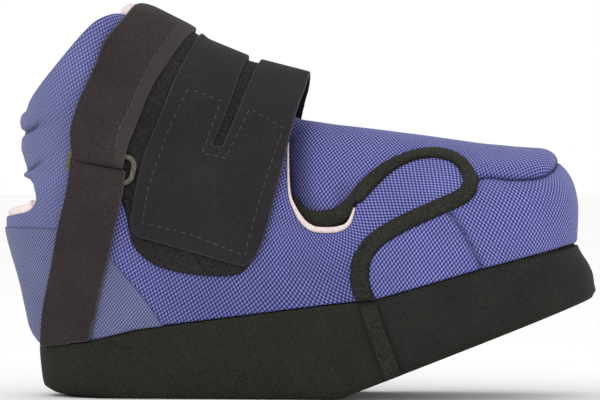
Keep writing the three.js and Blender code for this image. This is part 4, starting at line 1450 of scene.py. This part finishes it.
def add_stitches(part, line, offset):
    """Short threads along a side-view line on a strap, each dipping into the cloth at its ends."""
    size = len(STITCH_PROFILE)
    length = np.concatenate([[0], np.cumsum(np.hypot(*np.diff(line, axis=0).T))])
    starts = np.arange(0, length[-1] - STITCH_LENGTH, STITCH_LENGTH + STITCH_GAP)
    share = np.linspace(0, 1, size)
    at = (starts[:, None] + share * STITCH_LENGTH).ravel()
    x, z = np.interp(at, length, line[:, 0]), np.interp(at, length, line[:, 1])
    s, w = locate(x, z, strap=True)
    base, normals = surface(s, w, strap=True), outward(s, w, strap=True)
    rise = STITCH_RADIUS * STITCH_SINK * (2 * np.sin(math.pi * share) - 1)
    centres = base + normals * (offset(base) + np.tile(rise, len(starts)))[:, None]
    radii = STITCH_RADIUS * np.array(STITCH_PROFILE)
    for first in range(0, len(centres), size):
        span = slice(first, first + size)
        part.add(*tube(centres[span], normals[span], radii, STITCH_SIDES))


def make_seams():
    part = Part()
    add_stitches(part, np.array(FLAP_SEAM, float), lambda base: np.full(len(base), FLAP_FROM + FLAP))
    add_stitches(part, smooth(ANKLE_SEAM), lambda base: ankle_strap_level(base) + STRAP)
    return part.make("strap_seams", thread_grey, "strap_black")


# The studio


def make_studio():
    scene = bpy.context.scene
    scene.view_settings.view_transform = "Standard"
    world = bpy.data.worlds.new("studio")
    scene.world = world
    world.use_nodes = True
    world.node_tree.nodes["Background"].inputs["Color"].default_value = (1, 1, 1, 1)
    world.node_tree.nodes["Background"].inputs["Strength"].default_value = 1.0
    floor_mesh = bpy.data.meshes.new("floor")
    corners = [(x * FLOOR_REACH, y * FLOOR_REACH, 0) for x, y in SQUARE]
    floor_mesh.from_pydata(corners, [], [(0, 1, 2, 3)])
    floor = bpy.data.objects.new("floor", floor_mesh)
    bpy.context.collection.objects.link(floor)
    shader = Shader("pale_floor")
    grain = shader.ramp(shader.noise(3, detail=2), (0.3, (0.93, 0.93, 0.93, 1)), (0.7, (0.96, 0.96, 0.96, 1)))
    floor_mesh.materials.append(shader.finish(grain, roughness=0.9))
    for light in LIGHTS:
        add_light(*light)


def add_light(name, place, size, power):
    light = bpy.data.lights.new(name, "AREA")
    light.size = size
    light.energy = power
    lamp = bpy.data.objects.new(name, light)
    lamp.location = place
    lamp.rotation_euler = (CAMERA_AIM - lamp.location).to_track_quat("-Z", "Y").to_euler()
    bpy.context.collection.objects.link(lamp)


def make_camera():
    data = bpy.data.cameras.new("camera")
    data.sensor_width = SENSOR_WIDTH
    data.lens = SENSOR_WIDTH * CAMERA_DISTANCE / (PHOTO_WIDTH * PHOTO_SCALE * MM)
    camera = bpy.data.objects.new("camera", data)
    level = math.cos(CAMERA_RISE)
    away = Vector((math.sin(CAMERA_TURN) * level, -math.cos(CAMERA_TURN) * level, math.sin(CAMERA_RISE)))
    camera.location = CAMERA_AIM + away * CAMERA_DISTANCE
    camera.rotation_euler = (-away).to_track_quat("-Z", "Y").to_euler()
    bpy.context.collection.objects.link(camera)
    bpy.context.scene.camera = camera


# The shoe

make_studio()
make_camera()
pieces = {
    "sole": make_sole(),
    "sole_cover": make_sole_cover(),
    "lining": make_lining(),
    "quarter": make_quarter(),
    "heel_counter": make_heel_counter(),
    "vamp_top": make_vamp_top(),
    "toe_wall": make_toe_wall(),
    "vamp_binding_lateral": make_binding(-1, "vamp_binding_lateral"),
    "vamp_binding_medial": make_binding(1, "vamp_binding_medial"),
    "loop_patch": make_loop_patch(),
    "instep_flap": make_instep_flap(),
    "ankle_strap_pile": make_ankle_pile(),
    "ankle_strap": make_ankle_strap(),
    "heel_strap": make_heel_strap(),
    "ring": make_ring(),
    "strap_seams": make_seams(),
}
